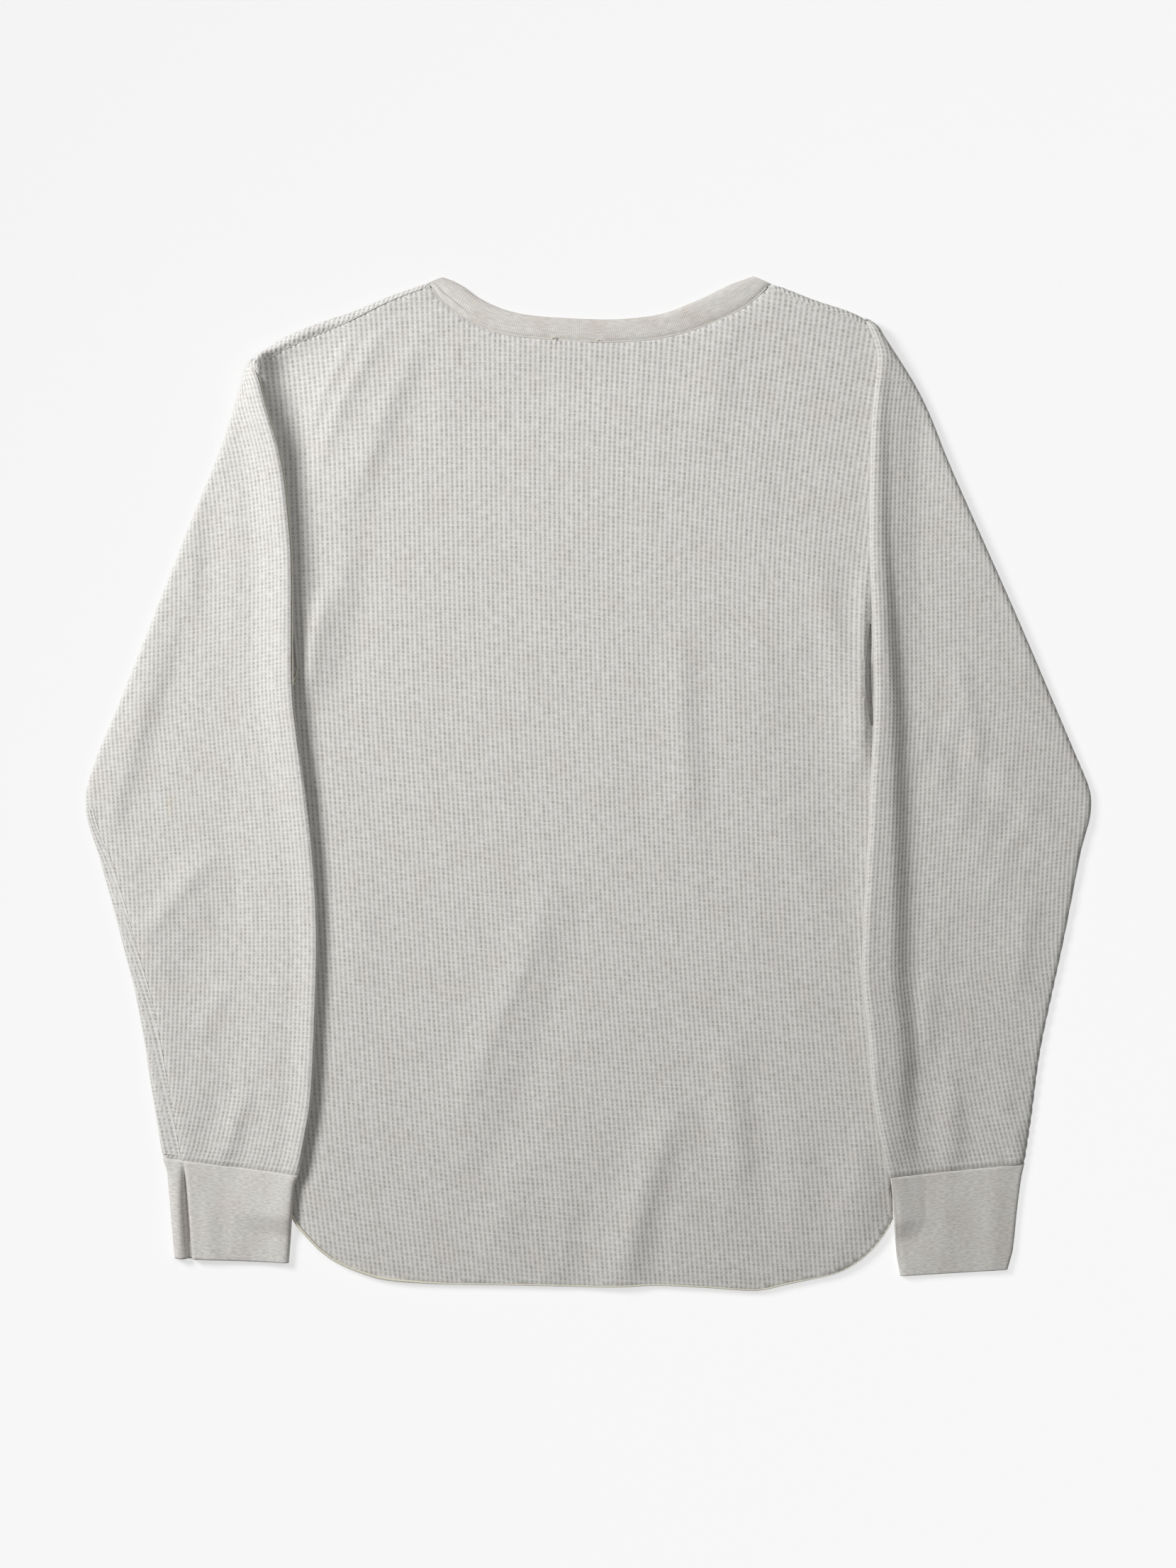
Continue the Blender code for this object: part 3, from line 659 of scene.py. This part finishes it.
# %% The form of a tube
# The fold beside the body: place along, lift, how far in its crest and its slope go, and its lean
EDGE_LIFT = {
    "left_sleeve": (
        (284, 3.0, 2, 10, 0.5), (268, 7.5, 2, 16, 2), (241, 8.5, 2, 22, 3), (165, 7.5, 3, 24, 3),
        (50, 6.5, 3, 22, 3.2), (-20, 4.2, 3, 20, 3), (-92, 2.6, 3, 16, 2.4), (-215, 2.8, 3, 15, 2.6),
        (-250, 2.0, 3, 13, 1.2), (-262, 0.8, 3, 12, 0.2),
    ),
    "right_sleeve": (
        (302, 0.6, 3, 8, 0), (240, 1.8, 5, 9, 0), (165, 3.2, 7, 9, 0), (98, 4.8, 8, 11, -0.6),
        (3, 5.4, 13, 14, 0), (-92, 4.8, 18, 16, 0), (-187, 3.6, 19, 16, 0), (-225, 1.8, 14, 14, 0),
        (-264, 0.3, 12, 13, 0),
    ),
    "left_cuff": ((-250, 0.8, 3, 12, 0.2), (-300, 0.0, 3, 12, 0)),
    "right_cuff": ((-250, 0.4, 12, 13, 0), (-280, 0.0, 12, 13, 0)),
}
OUTER_LIFT = (  # how much higher the right sleeve lies towards its outer edge: place, lift
    (302, 1.0), (260, 2.4), (150, 2.6), (50, 1.6), (-60, 1.0), (-190, 0.6), (-260, 0.0),
)
LEAN_REACH = 25.0  # mm from the fold, over which that lean dies out
FOLD_ZONE = 1.2  # mm from a section's end, whose points give the fold's height
FORM_PASSES = 6
LIFT_SIDE = (0.4, 1.4)  # where the lift starts round a ring, as its inward direction's height, and its fade


def tube_form(node, courses):
    """The solid's surface as rings of stations, one for each course, evened and raised by the tables."""
    edges, side = edges_of(node), side_of(node)
    points, inward = [], []
    for height, rise in courses:
        ring = cut_through(edges, (-rise * side, 1, 0), height - rise * FOLD_LINE)
        reach = side * ring[:, 0]
        inner, outer = reach.min(), reach.max()
        tall = [ring[abs(reach - end) < FOLD_ZONE, 2].mean() for end in (inner, outer)]
        radius = min(FOLD_RADIUS, (outer - inner) * 0.3)
        out, middle, across, up = ring_stations(inner, outer, *tall, radius)
        points.append(np.stack([side * out, height + rise * (out - FOLD_LINE), middle], axis=1))
        inward.append(-np.stack([side * across, rise * across, up], axis=1))
    inward = np.array(inward)
    inward /= np.linalg.norm(inward, axis=2)[:, :, None]
    form = settle(mesh_of(node), np.array(points), inward)
    for _ in range(FORM_PASSES):
        form[1:-1] = (form[:-2] + 2 * form[1:-1] + form[2:]) / 4
    reach = side * form[:, :, 0]
    from_fold = reach - reach.min(axis=1)[:, None]
    upper = smooth((LIFT_SIDE[0] - inward[:, :, 2]) / LIFT_SIDE[1])
    lift, crest, slope, lean = columns_at(EDGE_LIFT[node], form[:, :, 1])
    form[:, :, 2] += lift * (1 - smooth((from_fold - crest) / slope)) * upper
    if node == "right_sleeve":
        rise = columns_at(OUTER_LIFT, form[:, :, 1])[0]
        form[:, :, 2] += rise * smooth(from_fold / from_fold.max(axis=1)[:, None]) * upper
    form[:, :, 0] -= side * lean * (1 - smooth(from_fold / LEAN_REACH)) * upper
    return form


# %% [markdown]
# ## Laying the tube
# The knit is counted off round each ring, from a seam just under the inner fold round to it again. The
# seam's two edges lie a hair apart, so that they don't merge. A sleeve's upper end is drawn together in a
# soft round and its lower end laps over the cuff, whose own end is tucked under it.

# %% Tubes of cloth
SEAM_AT = -4  # wales round under the inner fold, where the tube is sewn up
SEAM_SLIT = 0.03  # mm between the tube's two long edges there
LOWEST_CREASE = 0.9  # mm over the floor
ROUND_ANGLES = (20, 40, 60, 75, 86)  # degrees round an end, of the courses that close it
ROUND_TIP = 0.35  # share of the end's width that is left at its tip


def tube_grid(form, step, first):
    """Crossings every step round each ring, from the seam to it again, and their place in the cloth."""
    closed = np.concatenate([form, form[:, :1]], axis=1)
    runs = run_of(closed.transpose(1, 0, 2)).T
    wales = np.arange(int(runs[:, -1].max() / step) + 2) * step
    places, cut = np.zeros((len(form), len(wales), 3)), np.zeros((len(form), len(wales)))
    for row, (ring, run) in enumerate(zip(closed, runs)):
        cut[row] = np.minimum(wales, run[-1]) + first * step
        places[row] = points_at(ring, run, cut[row] % run[-1])
        places[row, wales >= run[-1], 2] -= SEAM_SLIT
    return places, cut


def rounded_end(places, step, reach, lean):
    """Courses that close a tube's upper end in a soft round, which reaches on past it and leans."""
    ring = places[-1]
    inner, level = ring[np.abs(ring[:, 0]).argmin(), 0], ring[:, 2].mean()
    onward = (ring - places[-2]).mean(axis=0) / step + (lean, 0, 0)
    ends = []
    for angle in np.radians(ROUND_ANGLES):
        end = ring + onward * reach * np.sin(angle)
        width = ROUND_TIP + (1 - ROUND_TIP) * np.cos(angle)
        end[:, 0] = inner + (ring[:, 0] - inner) * width + onward[0] * reach * np.sin(angle)
        end[:, 2] = level + (ring[:, 2] - level) * np.cos(angle)
        ends.append(end[None])
    return ends


def lay_tube(node, cell, lining=0, wall=0.0, tuck=(), lap=(0.0, 0.0), cap=()):
    """The tube as a grid on its solid, with what its lower end and its upper end are given."""
    places, cut = tube_grid(tube_form(node, courses_of(node, cell[1])), cell[0], SEAM_AT)
    outward = outward_of(places)
    crease = fold_height(CREASES[node], places[:, :, 0], places[:, :, 1]) * np.clip(outward[:, :, 2], 0, 1)
    level = places[:, :, 2]
    sunken = np.maximum(level + crease, np.minimum(level, LOWEST_CREASE))
    places[:, :, 2] = np.where(crease < 0, sunken, level + crease)
    places[0] += (places[0] - places[1]) / cell[1] * lap[0] - outward[0] * lap[1]
    inside = (places - outward * wall)[lining - 1 :: -1] if lining else places[:0]
    onward = (places[-1:] - places[-2:-1]) / cell[1]
    ends = [places[-1:] + onward * up - outward[-1:] * down for up, down in tuck]
    ends += rounded_end(places, cell[1], *cap) if cap else []
    places = np.concatenate([inside, places, *ends])
    rows = np.arange(len(places)) - lining
    across = cut[np.clip(np.abs(rows), 0, len(cut) - 1)]
    along = np.tile(rows[:, None] * cell[1], cut.shape[1])
    bm = sheet_mesh(places, np.stack([across, along], axis=2) * MM)
    upper = [face for face in bm.faces if face.calc_center_median().z > 5 * MM]
    if sum(face.normal.z for face in upper if abs(face.normal.z) > 0.8) < 0:
        bmesh.ops.reverse_faces(bm, faces=bm.faces)
    return bm


# %% The two sleeves
SLEEVE_LAP = (1.5, 0.3)  # mm: how far the sleeve's end reaches down over the cuff, and how deep it sinks
SHOULDER_CAP = {"left_sleeve": (5.6, 0.35), "right_sleeve": (8.0, 0.0)}  # mm of reach, and the lean
WRIST_HOLLOW = (206, -236, 206, -344, 0, -2.6, 10, 13)  # beside the body, in the right sleeve and its cuff
CREASES = {  # as in the back's creases
    "left_sleeve": (
        (-262, 186, -266, 104, 0, 1.0, 8, 5),
        (-286, 92, -325, -50, 0, 1.1, 8, 6),
        (-248, -44, -300, -112, -3, 1.4, 10, 6),
        (-240, -128, -262, -176, 0, 0.8, 8, 6),
        (-226, -202, -248, -262, 0, 1.2, 8, 5),
        (-328, -24, -276, -262, 0, 0.7, 3, 3),
    ),
    "right_sleeve": (
        WRIST_HOLLOW,
        (193, 292, 196, 196, 0, 0.3, 4, 4),
        (226, 50, 318, -54, -4, -1.0, 9, 9),
        (246, 96, 262, 6, 0, 0.9, 9, 7),
        (246, -200, 247, -262, 0, 1.1, 8, 5),
        (286, -220, 289, -268, 0, 0.9, 6, 5),
        (228, -120, 226, -190, 0, 0.8, 7, 6),
        (300, -60, 284, -150, 0, 0.8, 9, 7),
    ),
    "left_cuff": (
        (-271.6, -244, -265.2, -372, 0, -5.5, 0.7, 1.1),
        (-271.4, -252, -261.5, -372, 0, -5.0, 1.5, 1.0),
        (-276, -244, -270.5, -370, 0, 2.4, 5, 3),
        (-256, -268, -250, -380, 0, 0.9, 4, 7),
        (-232, -256, -238, -330, 0, 0.5, 9, 9),
        (-206, -266, -210, -330, 0, 0.5, 6, 6),
    ),
    "right_cuff": (
        WRIST_HOLLOW,
        (272, -256, 270, -350, 0, 0.7, 7, 8),
        (236, -262, 240, -330, 0, 0.5, 9, 9),
    ),
}


def lay_sleeve(node):
    bm = lay_tube(node, SLEEVE_CELL, lap=SLEEVE_LAP, cap=SHOULDER_CAP[node])
    poke_pits(bm)
    add_rim(bm)
    return finish_mesh(f"{node}_knit", bm, sleeve_waffle, node)


left_sleeve, right_sleeve = lay_sleeve("left_sleeve"), lay_sleeve("right_sleeve")

# %% [markdown]
# ## Cuffs
# The cuffs are a doubled band of plain jersey in the same yarn. Jersey is too fine to model stitch by
# stitch, so these sheets are smooth, and their material holds the wales. A cuff has no raw edge: the band
# is folded at the wrist, so the sheet is turned in there, and its open end shows a little of the inside.

# %% Jersey cuffs
CUFF_CELL = (0.9, 0.9)  # mm
CUFF_WALL = 1.4  # mm
CUFF_LINING = 9  # courses of the mesh that are turned in at the wrist
CUFF_TUCK = ((0.3, 0.5), (0.9, 1.2), (1.8, 2.2))  # mm: how far up under the sleeve's end, and how deep
CUFF_STREAK = (0.0034, 0.001)  # metres
WALE_PITCH = 0.0013  # metres; the real wales are about 0.8 mm apart


def jersey(name, pale, dark, pink, streaks, wale_height, wale_pitch, streak_size=STREAK):
    """Weft-knitted cotton: soft and matt, with faint upright wales and streaks of heather across them."""
    material, shader = cotton(name, 0.92, 0.15)
    cloth = add(material, "Attribute", {}, attribute_name="cloth").outputs["Vector"]
    across = add(material, "SeparateXYZ", {0: cloth}).outputs[0]
    wale = add(material, "Math", {0: across, 1: wale_pitch / 2}, operation="PINGPONG")
    relief = add(material, "Math", {0: wale, 1: 2 / wale_pitch * wale_height}, operation="MULTIPLY")
    tone = heather(material, cloth, pale, dark, pink, streaks, streak_size)
    return dress(material, shader, cloth, tone, relief, 0.6, 0.5)


cuff_jersey = jersey("heather_cotton_jersey", "#dad8d3", "#c1bfba", "#faf4f4", 0.9, 0.12, WALE_PITCH,
                     CUFF_STREAK)


def lay_cuff(node):
    bm = lay_tube(node, CUFF_CELL, CUFF_LINING, CUFF_WALL, CUFF_TUCK)
    return finish_mesh(f"{node}_jersey", bm, cuff_jersey, node)


left_cuff, right_cuff = lay_cuff("left_cuff"), lay_cuff("right_cuff")

# %% [markdown]
# ## The neck band
# A strip of fine rib is folded lengthwise, stretched round the neckline and sewn on, so it stands up a
# little and its ribs run across it. Rib is jersey whose wales stand higher, so its material is jersey's
# with a deeper relief. The solid holds the whole loop. Its half that lies on top gets this finer sheet:
# it domes between the seam and the fold, rolls over the folded edge, and has a groove at its left end.

# %% Ribbed neck band
BAND_SEAM_ENDS = (-107.6, 122.6)  # mm across, where the back half of the band starts and ends at its seam
BAND_FOLD_ENDS = (-98.0, 111.4)  # and at its folded edge
BAND_COLUMNS, BAND_STATIONS = 150, 28
BAND_UPPER = 1.7  # mm: what of the band lies over this height is its upper half
BAND_LIFT = 0.1  # mm of the sheet over its solid
BAND_DOME = 1.3  # mm
BAND_GROOVE = (0.36, 0.055, 1.25)  # as shares of the band's width, its place and width, and its depth in mm
GROOVE_FADE = (0.36, 0.3)  # share of the band's length where the groove ends, and over which it dies out
BAND_ROLL = ((0.5, 0.5), (0.6, 1.1), (0.2, 1.6))  # mm past the fold, and down
BAND_CUT = (0.234, 0.0172)  # metres of rib along and across the half that shows
RIB_PITCH = 0.0014  # metres; the real ribs are about 0.95 mm apart

band_rib = jersey("heather_cotton_rib", "#d6d3ce", "#c0beb8", "#f4ecea", 0.8, 0.6, RIB_PITCH)


def upper_reach(edges, x):
    """How far the band's upper half reaches along at a place across, and how high."""
    cut = cut_through(edges, (1, 0, 0), x)
    upper = cut[cut[:, 2] > BAND_UPPER]
    return upper[:, 1].min(), upper[:, 1].max(), upper[:, 2].max()


def lay_band():
    edges = edges_of("neck_band")
    places = np.zeros((BAND_STATIONS + 1 + len(BAND_ROLL), BAND_COLUMNS + 1, 3))
    for column in range(BAND_COLUMNS + 1):
        share = column / BAND_COLUMNS
        seam_x, fold_x = [a * (1 - share) + b * share for a, b in (BAND_SEAM_ENDS, BAND_FOLD_ENDS)]
        _, fold_y, top = upper_reach(edges, fold_x)
        seam, fold = np.array([seam_x, upper_reach(edges, seam_x)[0]]), np.array([fold_x, fold_y])
        across = (fold - seam) / np.linalg.norm(fold - seam)
        groove = BAND_GROOVE[2] * smooth((GROOVE_FADE[0] - share) / GROOVE_FADE[1])
        for row in range(BAND_STATIONS + 1):
            part = row / BAND_STATIONS
            dome = BAND_DOME * (1 - (2 * part - 1) ** 4)
            dome -= groove * np.exp(-(((part - BAND_GROOVE[0]) / BAND_GROOVE[1]) ** 2))
            places[row, column] = (*(seam * (1 - part) + fold * part), top + BAND_LIFT + dome)
        for row, (out, down) in enumerate(BAND_ROLL, BAND_STATIONS + 1):
            places[row, column] = (*(fold + across * out), top - BAND_LIFT - down)
    places[:, :, 2] = soften(places[:, :, 2], 1)
    flat = [np.linspace(0, cut, count) for cut, count in zip(BAND_CUT, places.shape[1::-1])]
    bm = sheet_mesh(places, np.stack(np.meshgrid(*flat), axis=2))
    return finish_mesh("neck_band_rib", bm, band_rib), places[0]


neck_rib, band_seam = lay_band()
mesh_of("neck_band").materials.clear()
mesh_of("neck_band").materials.append(band_rib)

# %% [markdown]
# ## Shoulder rolls
# The seam sits behind the top of the shoulder, so above it a strip of the front's own cloth rolls over
# the edge. Its waffle runs aslant there. The strip follows the turned-down edge of the back's solid, with
# rays cast in from a half ring along the shoulder and, past it, from above.

# %% Shoulder rolls
ROLL_RADIUS = 3.0  # mm
ROLL_MIDDLE = 2.0  # mm: the height of the half ring's middle
ROLL_LAP = 2.4  # mm of the strip that lie under the back
ROLL_SINK = 1.5  # and how deep it sinks there
ROLL_ANGLES = np.radians((-70, -45, -20, 5, 30, 55, 75))
ROLL_TOP = np.linspace(0.0, 1.0, 5)  # shares of the way on from the ring, seen from above
ROLL_PITS = 0.7 * PIT_DEPTH  # shallower, where the cloth is drawn tight over the edge
ROLLS = {"left": (-226.4, -109.5, 28), "right": (124.5, 190.5, -24)}  # from, to, and the grain's turn
MEAN_OF_FIVE = np.ones(5) / 5  # evens an outline


def lay_shoulder_roll(side):
    """The strip as a piece, and the points of its seam with the back."""
    across, up, _, _ = outline_of("back_panel")
    start, end, turn = ROLLS[side]
    stations = np.linspace(start, end, round((end - start) / STRIP_STEP) + 1)
    top = np.interp(stations, across, np.convolve(up[:, 1], MEAN_OF_FIVE, "same"))
    slope = np.clip(np.gradient(top, stations), -1.4, 1.4)
    normal = np.stack([-slope, np.ones_like(slope), np.zeros_like(slope)], axis=1)
    normal /= np.hypot(1, slope)[:, None]
    edge = np.stack([stations, top, np.full(len(stations), ROLL_MIDDLE)], axis=1)
    points = [edge - normal * ROLL_RADIUS for _ in ROLL_ANGLES]
    inward = [-normal * np.cos(angle) - (0, 0, np.sin(angle)) for angle in ROLL_ANGLES]
    for share in ROLL_TOP:
        away = ROLL_RADIUS + np.maximum(strip_width(stations) + ROLL_LAP - ROLL_RADIUS, 0.3) * share
        points.append(edge - normal * away[:, None])
        inward.append(np.tile((0.0, 0.0, -1.0), (len(stations), 1)))
    places, step = evened(settle(mesh_of("back_panel"), np.array(points), np.array(inward)), STRIP_STEP)
    cloth = turned(run_of(places[len(places) // 2]), np.arange(len(places)) * step, turn)
    places = with_pits(places, cloth, BODY_CELL, ROLL_PITS, 0.1)
    share = smooth(places[:, :, 2] / places[:, :, 2].max(axis=0))  # its lower part stays on the floor
    places[:, :, 2] += fold_height(BACK_CREASES, places[:, :, 0], places[:, :, 1]) * share
    to_end = np.arange(len(places))[::-1] * step
    seam = places[np.abs(to_end - ROLL_LAP).argmin()] - (0, 0.2, 0.4)
    places[:, :, 2] -= ROLL_SINK * smooth((ROLL_LAP - to_end) / 1.2)[:, None]
    bm = sheet_mesh(places, cloth)
    return finish_mesh(f"{side}_shoulder_roll", bm, body_waffle), seam[2:-2:3]


left_roll, left_roll_seam = lay_shoulder_roll("left")
right_roll, right_roll_seam = lay_shoulder_roll("right")

# %% [markdown]
# ## The left sleeve's pleat
# Below its elbow the left sleeve is folded a little past its edge, so a narrow strip of its underside
# shows beside a crease. The knit runs aslant in the strip. It is a fine sheet of its own, laid on the
# solid from the crease, round the outer fold, to the floor.

# %% Pleat strip
# Height, and the strip's width beside the outer fold
PLEAT = (
    (-12, 3.0), (-30, 5.5), (-53, 8), (-106, 9), (-162, 11), (-243, 12.5),
)
PLEAT_ENDS = (-259.0, -4.0)
PLEAT_GRAIN = 3  # degrees
PLEAT_STATIONS = 30
PLEAT_PITS = 0.6 * PIT_DEPTH


def lay_pleat_strip():
    courses = courses_of("left_sleeve", STRIP_STEP, *PLEAT_ENDS)
    over = TURN_STATIONS + TOP_STATIONS - 2
    lines = []
    for ring in tube_form("left_sleeve", courses):
        reach = -ring[:, 0]
        outer = reach.argmax()
        crease = reach[outer] - columns_at(PLEAT, ring[outer, 1])[0]
        first = np.interp(crease, reach[:over], np.arange(over))
        stations = np.linspace(first, over + 2 * TURN_STATIONS - 2, PLEAT_STATIONS)
        lines.append(points_at(ring, np.arange(len(ring)), stations))
    places, step = evened(np.stack(lines, axis=1), STRIP_STEP)
    cloth = turned(np.arange(len(courses)) * STRIP_STEP, np.arange(len(places)) * step, PLEAT_GRAIN)
    cloth = cloth[..., ::-1]  # here the grid's columns are courses
    places = with_pits(places, cloth, SLEEVE_CELL, PLEAT_PITS, 0.25)
    return finish_mesh("left_sleeve_pleat", sheet_mesh(places, cloth), sleeve_waffle)


pleat = lay_pleat_strip()

# %% [markdown]
# ## The overlocked hem
# The shirt-tail hem has no turn-up. It is overlocked: looped threads in a slightly yellower cotton bind
# the raw edge of each panel. The loops are too fine to show, so a thin bead of thread along the edge
# gives that pale line, thinner where the hem rolls under.

# %% Overlock
THREAD_BEAD = 0.95  # mm, radius
HEM_ENDS = (-201.0, 203.0)
HEM_SHARES = ((-120, 1.0), (-95, 0.6), (140, 0.6), (165, 0.35))  # place across, share of the bead's radius
HEM_STATIONS = 240


def thread_cotton():
    """Spun cotton sewing thread: matt and a little yellower than the cloth, twisted too finely to show."""
    material, shader = cotton("overlock_cotton_thread", 0.85, 0.1)
    place = add(material, "TexCoord", {}).outputs["Object"]
    twist = add(material, "TexNoise", {"Vector": place, "Scale": 700.0, "Detail": 2.0})
    tone = add(material, "Mix", {0: twist, 6: colour("#cbc8b7"), 7: colour("#e0ddce")}, data_type="RGBA")
    bump = add(material, "Bump", {"Height": twist, "Distance": 0.0004, "Strength": 0.8})
    feed(shader, {"Base Color": tone, "Normal": bump})
    return material


def thread_line(name, points, radius, material, shares=None):
    """A bead of thread, or of cloth, along points in mm, with a share of the radius at each."""
    curve = bpy.data.curves.new(name, "CURVE")
    curve.dimensions = "3D"
    curve.bevel_depth = radius * MM
    curve.bevel_resolution = 2
    curve.use_fill_caps = True
    spline = curve.splines.new("POLY")
    spline.points.add(len(points) - 1)
    shares = np.ones(len(points)) if shares is None else shares
    for spot, point, share in zip(spline.points, points, shares):
        spot.co = (*[value * MM for value in point], 1)
        spot.radius = share
    curve.materials.append(material)
    piece = put(name, curve)
    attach(piece, "root")
    print(f"{name}: {len(points)} points of thread")
    return piece


def overlock(panel):
    """A bead along the middle of a panel's hem, at the height where the panel's upper face lies."""
    across, up, _, _ = outline_of(f"{panel}_panel")
    stations = np.linspace(*HEM_ENDS, HEM_STATIONS)
    low = np.interp(stations, across, np.convolve(np.pad(up[:, 0], 2, "edge"), MEAN_OF_FIVE, "valid"))
    shares = columns_at(HEM_SHARES, stations)[0]
    above = np.stack([stations, low + 2.0, np.zeros(len(stations))], axis=1)
    level = settle(mesh_of(f"{panel}_panel"), above, (0.0, 0.0, -1.0))[:, 2]
    points = np.stack([stations, low + THREAD_BEAD * 0.5 * shares, level + 0.1], axis=1)
    return thread_line(f"{panel}_hem_overlock", points, THREAD_BEAD, thread, shares)


thread = thread_cotton()
back_overlock, front_overlock = overlock("back"), overlock("front")

# %% [markdown]
# ## Seams and thread ends
# The armhole's seam turns into the fold of the left sleeve and shows as a fine pale line along it. Under
# the left arm the seams' ends make a small lump, with a knot of thread. A short seam crosses the right
# sleeve's cap, and fine ones hold the neck band and the shoulders' rolls. Each is a bead along a line, in
# thread or in its cloth, and so are the thread ends at the neck and the right sleeve.

# %% Seams
FOLD_SEAM_ENDS = (66, 280)  # mm: its lowest and its highest course
fold_rings = tube_form("left_sleeve", courses_of("left_sleeve", 4.0, *FOLD_SEAM_ENDS))
cap_points = np.array([(x, 271.6 - 0.006 * (x - 192) ** 2, 0.0) for x in np.arange(193.0, 219.0, 1.5)])
BEADS = (  # name, points in mm, radius, material
    ("left_fold_seam", [ring[ring[:, 0].argmax()] for ring in fold_rings], 0.5, thread),
    ("right_cap_seam", settle(right_sleeve.data, cap_points, (0.0, 0.0, -1.0)), 0.5, sleeve_waffle),
    ("neck_band_seam", band_seam[2:-2] + (0, -0.2, 0.1), 0.45, band_rib),
    ("left_shoulder_seam", left_roll_seam, 0.35, body_waffle),
    ("right_shoulder_seam", right_roll_seam, 0.35, body_waffle),
    ("left_armpit_seam",
     ((-199.0, 132, 5.0), (-197.4, 112, 5.2), (-195.6, 92, 5.2), (-194.4, 78, 5.0)), 1.3, cuff_jersey),
    ("left_armpit_knot",
     ((-194.4, 78, 5.2), (-195.6, 72, 6.0), (-198.0, 68.5, 6.4), (-196.2, 66.6, 6.2), (-194.8, 69.6, 5.8)),
     0.7, thread),
    ("neck_thread_end",
     ((-24.2, 298.4, 4.4), (-23.2, 299.6, 5.4), (-22.0, 299.2, 5.6), (-21.2, 297.6, 4.6)), 0.35, thread),
    ("neck_seam_lump", ((5.8, 297.2, 4.2), (7.4, 297.8, 4.7), (9.0, 297.2, 4.2)), 0.35, thread),
    ("right_sleeve_thread",
     ((193.6, -72.0, 12.4), (194.6, -74.0, 13.0), (193.8, -76.4, 12.4)), 0.35, thread),
)
beads = {name: thread_line(name, points, radius, material) for name, points, radius, material in BEADS}

# %% [markdown]
# ## The cut
# Each sheet keeps its place in the flat cloth, so the same numbers give the cut of its piece: its width
# all round, its length and its flat area. A strip that is cut aslant to the grain is measured along
# itself.

# %% Sheets of cloth
STRIP_CUTS = {  # metres: each strip's length and width
    "left_shoulder_roll": (0.143, 0.0215),
    "right_shoulder_roll": (0.074, 0.0165),
    "left_sleeve_pleat": (0.247, 0.0165),
}


def declare(piece):
    """Prints the size of a piece's cut: its width, its length and its flat area."""
    bm = bmesh.new()
    bm.from_mesh(piece.data)
    layer = bm.verts.layers.float_vector["cloth"]
    flat = np.array([vert[layer] for vert in bm.verts])
    for vert in bm.verts:
        vert.co = vert[layer]
    area = sum(face.calc_area() for face in bm.faces)
    bm.free()
    width, length = STRIP_CUTS.get(piece.name, (np.ptp(flat[:, 0]), np.ptp(flat[:, 1])))
    area = min(area, width * length)
    print(f"{piece.name}: {width / MM:.0f} by {length / MM:.0f} mm, {area * 1e4:.0f} square cm")


declare(front)
declare(back)
declare(left_sleeve)
declare(right_sleeve)
declare(left_cuff)
declare(right_cuff)
declare(neck_rib)
declare(left_roll)
declare(right_roll)
declare(pleat)

# %% [markdown]
# ## The light
# A round soft box stands low at the upper left, near enough to fall off towards the lower right, and a
# weak panel hangs over the top. The ground is a sheet of opal acrylic, lit softly from below, as
# catalogues do to keep it white to its corners and still catch the cloth's shadow. Its own glow makes up
# for what the lamps give each place: a lamp's light on a level sheet falls with the cube of its distance,
# as it also arrives more aslant.

# %% Ground and lights
GROUND_SIZE = 60.0  # metres
GROUND_WHITE = 0.946  # what the ground gives back in all, where 1 is white
GROUND_COLOUR = 0.35
LIGHTS = (  # name, place, width, power
    ("soft_box", (-1.6, 0.9, 1.5), 0.95, 58.0),
    ("ceiling_panel", (0.1, 0.2, 0.9), 0.5, 2.0),
)
ROOM_LIGHT = 0.1
DISK_LEVEL = 0.1013  # light on a white surface 1 m under a disk lamp of 1 W


def opal_acrylic():
    """Cast opal acrylic, sanded matt: it glows evenly from below and also takes the light from above."""
    material, shader = new_material("opal_acrylic", {
        "Base Color": (GROUND_COLOUR, GROUND_COLOUR, GROUND_COLOUR, 1), "Roughness": 1.0,
        "Specular IOR Level": 0.0, "Emission Color": WHITE})
    place = add(material, "TexCoord", {}).outputs["Object"]
    glow = GROUND_WHITE - GROUND_COLOUR * ROOM_LIGHT
    for _, lamp, _, power in LIGHTS:
        lit = GROUND_COLOUR * power * DISK_LEVEL * lamp[2]
        away = add(material, "VectorMath", {0: place, 1: lamp}, operation="DISTANCE")
        cubed = add(material, "Math", {0: away, 1: -3.0}, operation="POWER")
        glow = add(material, "Math", {0: cubed, 1: -lit, 2: glow}, operation="MULTIPLY_ADD")
    feed(shader, {"Emission Strength": glow})
    return material


bm = bmesh.new()
bmesh.ops.create_grid(bm, x_segments=1, y_segments=1, size=GROUND_SIZE / 2)
ground_mesh = bpy.data.meshes.new("ground")
bm.to_mesh(ground_mesh)
bm.free()
ground_mesh.materials.append(opal_acrylic())
put("ground", ground_mesh)

world = bpy.data.worlds.new("white_room")
bpy.context.scene.world = world
world.use_nodes = True
feed(world.node_tree.nodes["Background"], {"Color": WHITE, "Strength": ROOM_LIGHT})

for name, place, size, power in LIGHTS:
    light = bpy.data.lights.new(name, "AREA")
    light.shape = "DISK"
    light.size = size
    light.energy = power
    lamp = put(name, light)
    lamp.location = place
    lamp.rotation_euler = (-Vector(place)).to_track_quat("-Z", "Y").to_euler()
    print(f"{name}: {power} W at {place}")
bpy.context.scene.view_settings.view_transform = "Standard"
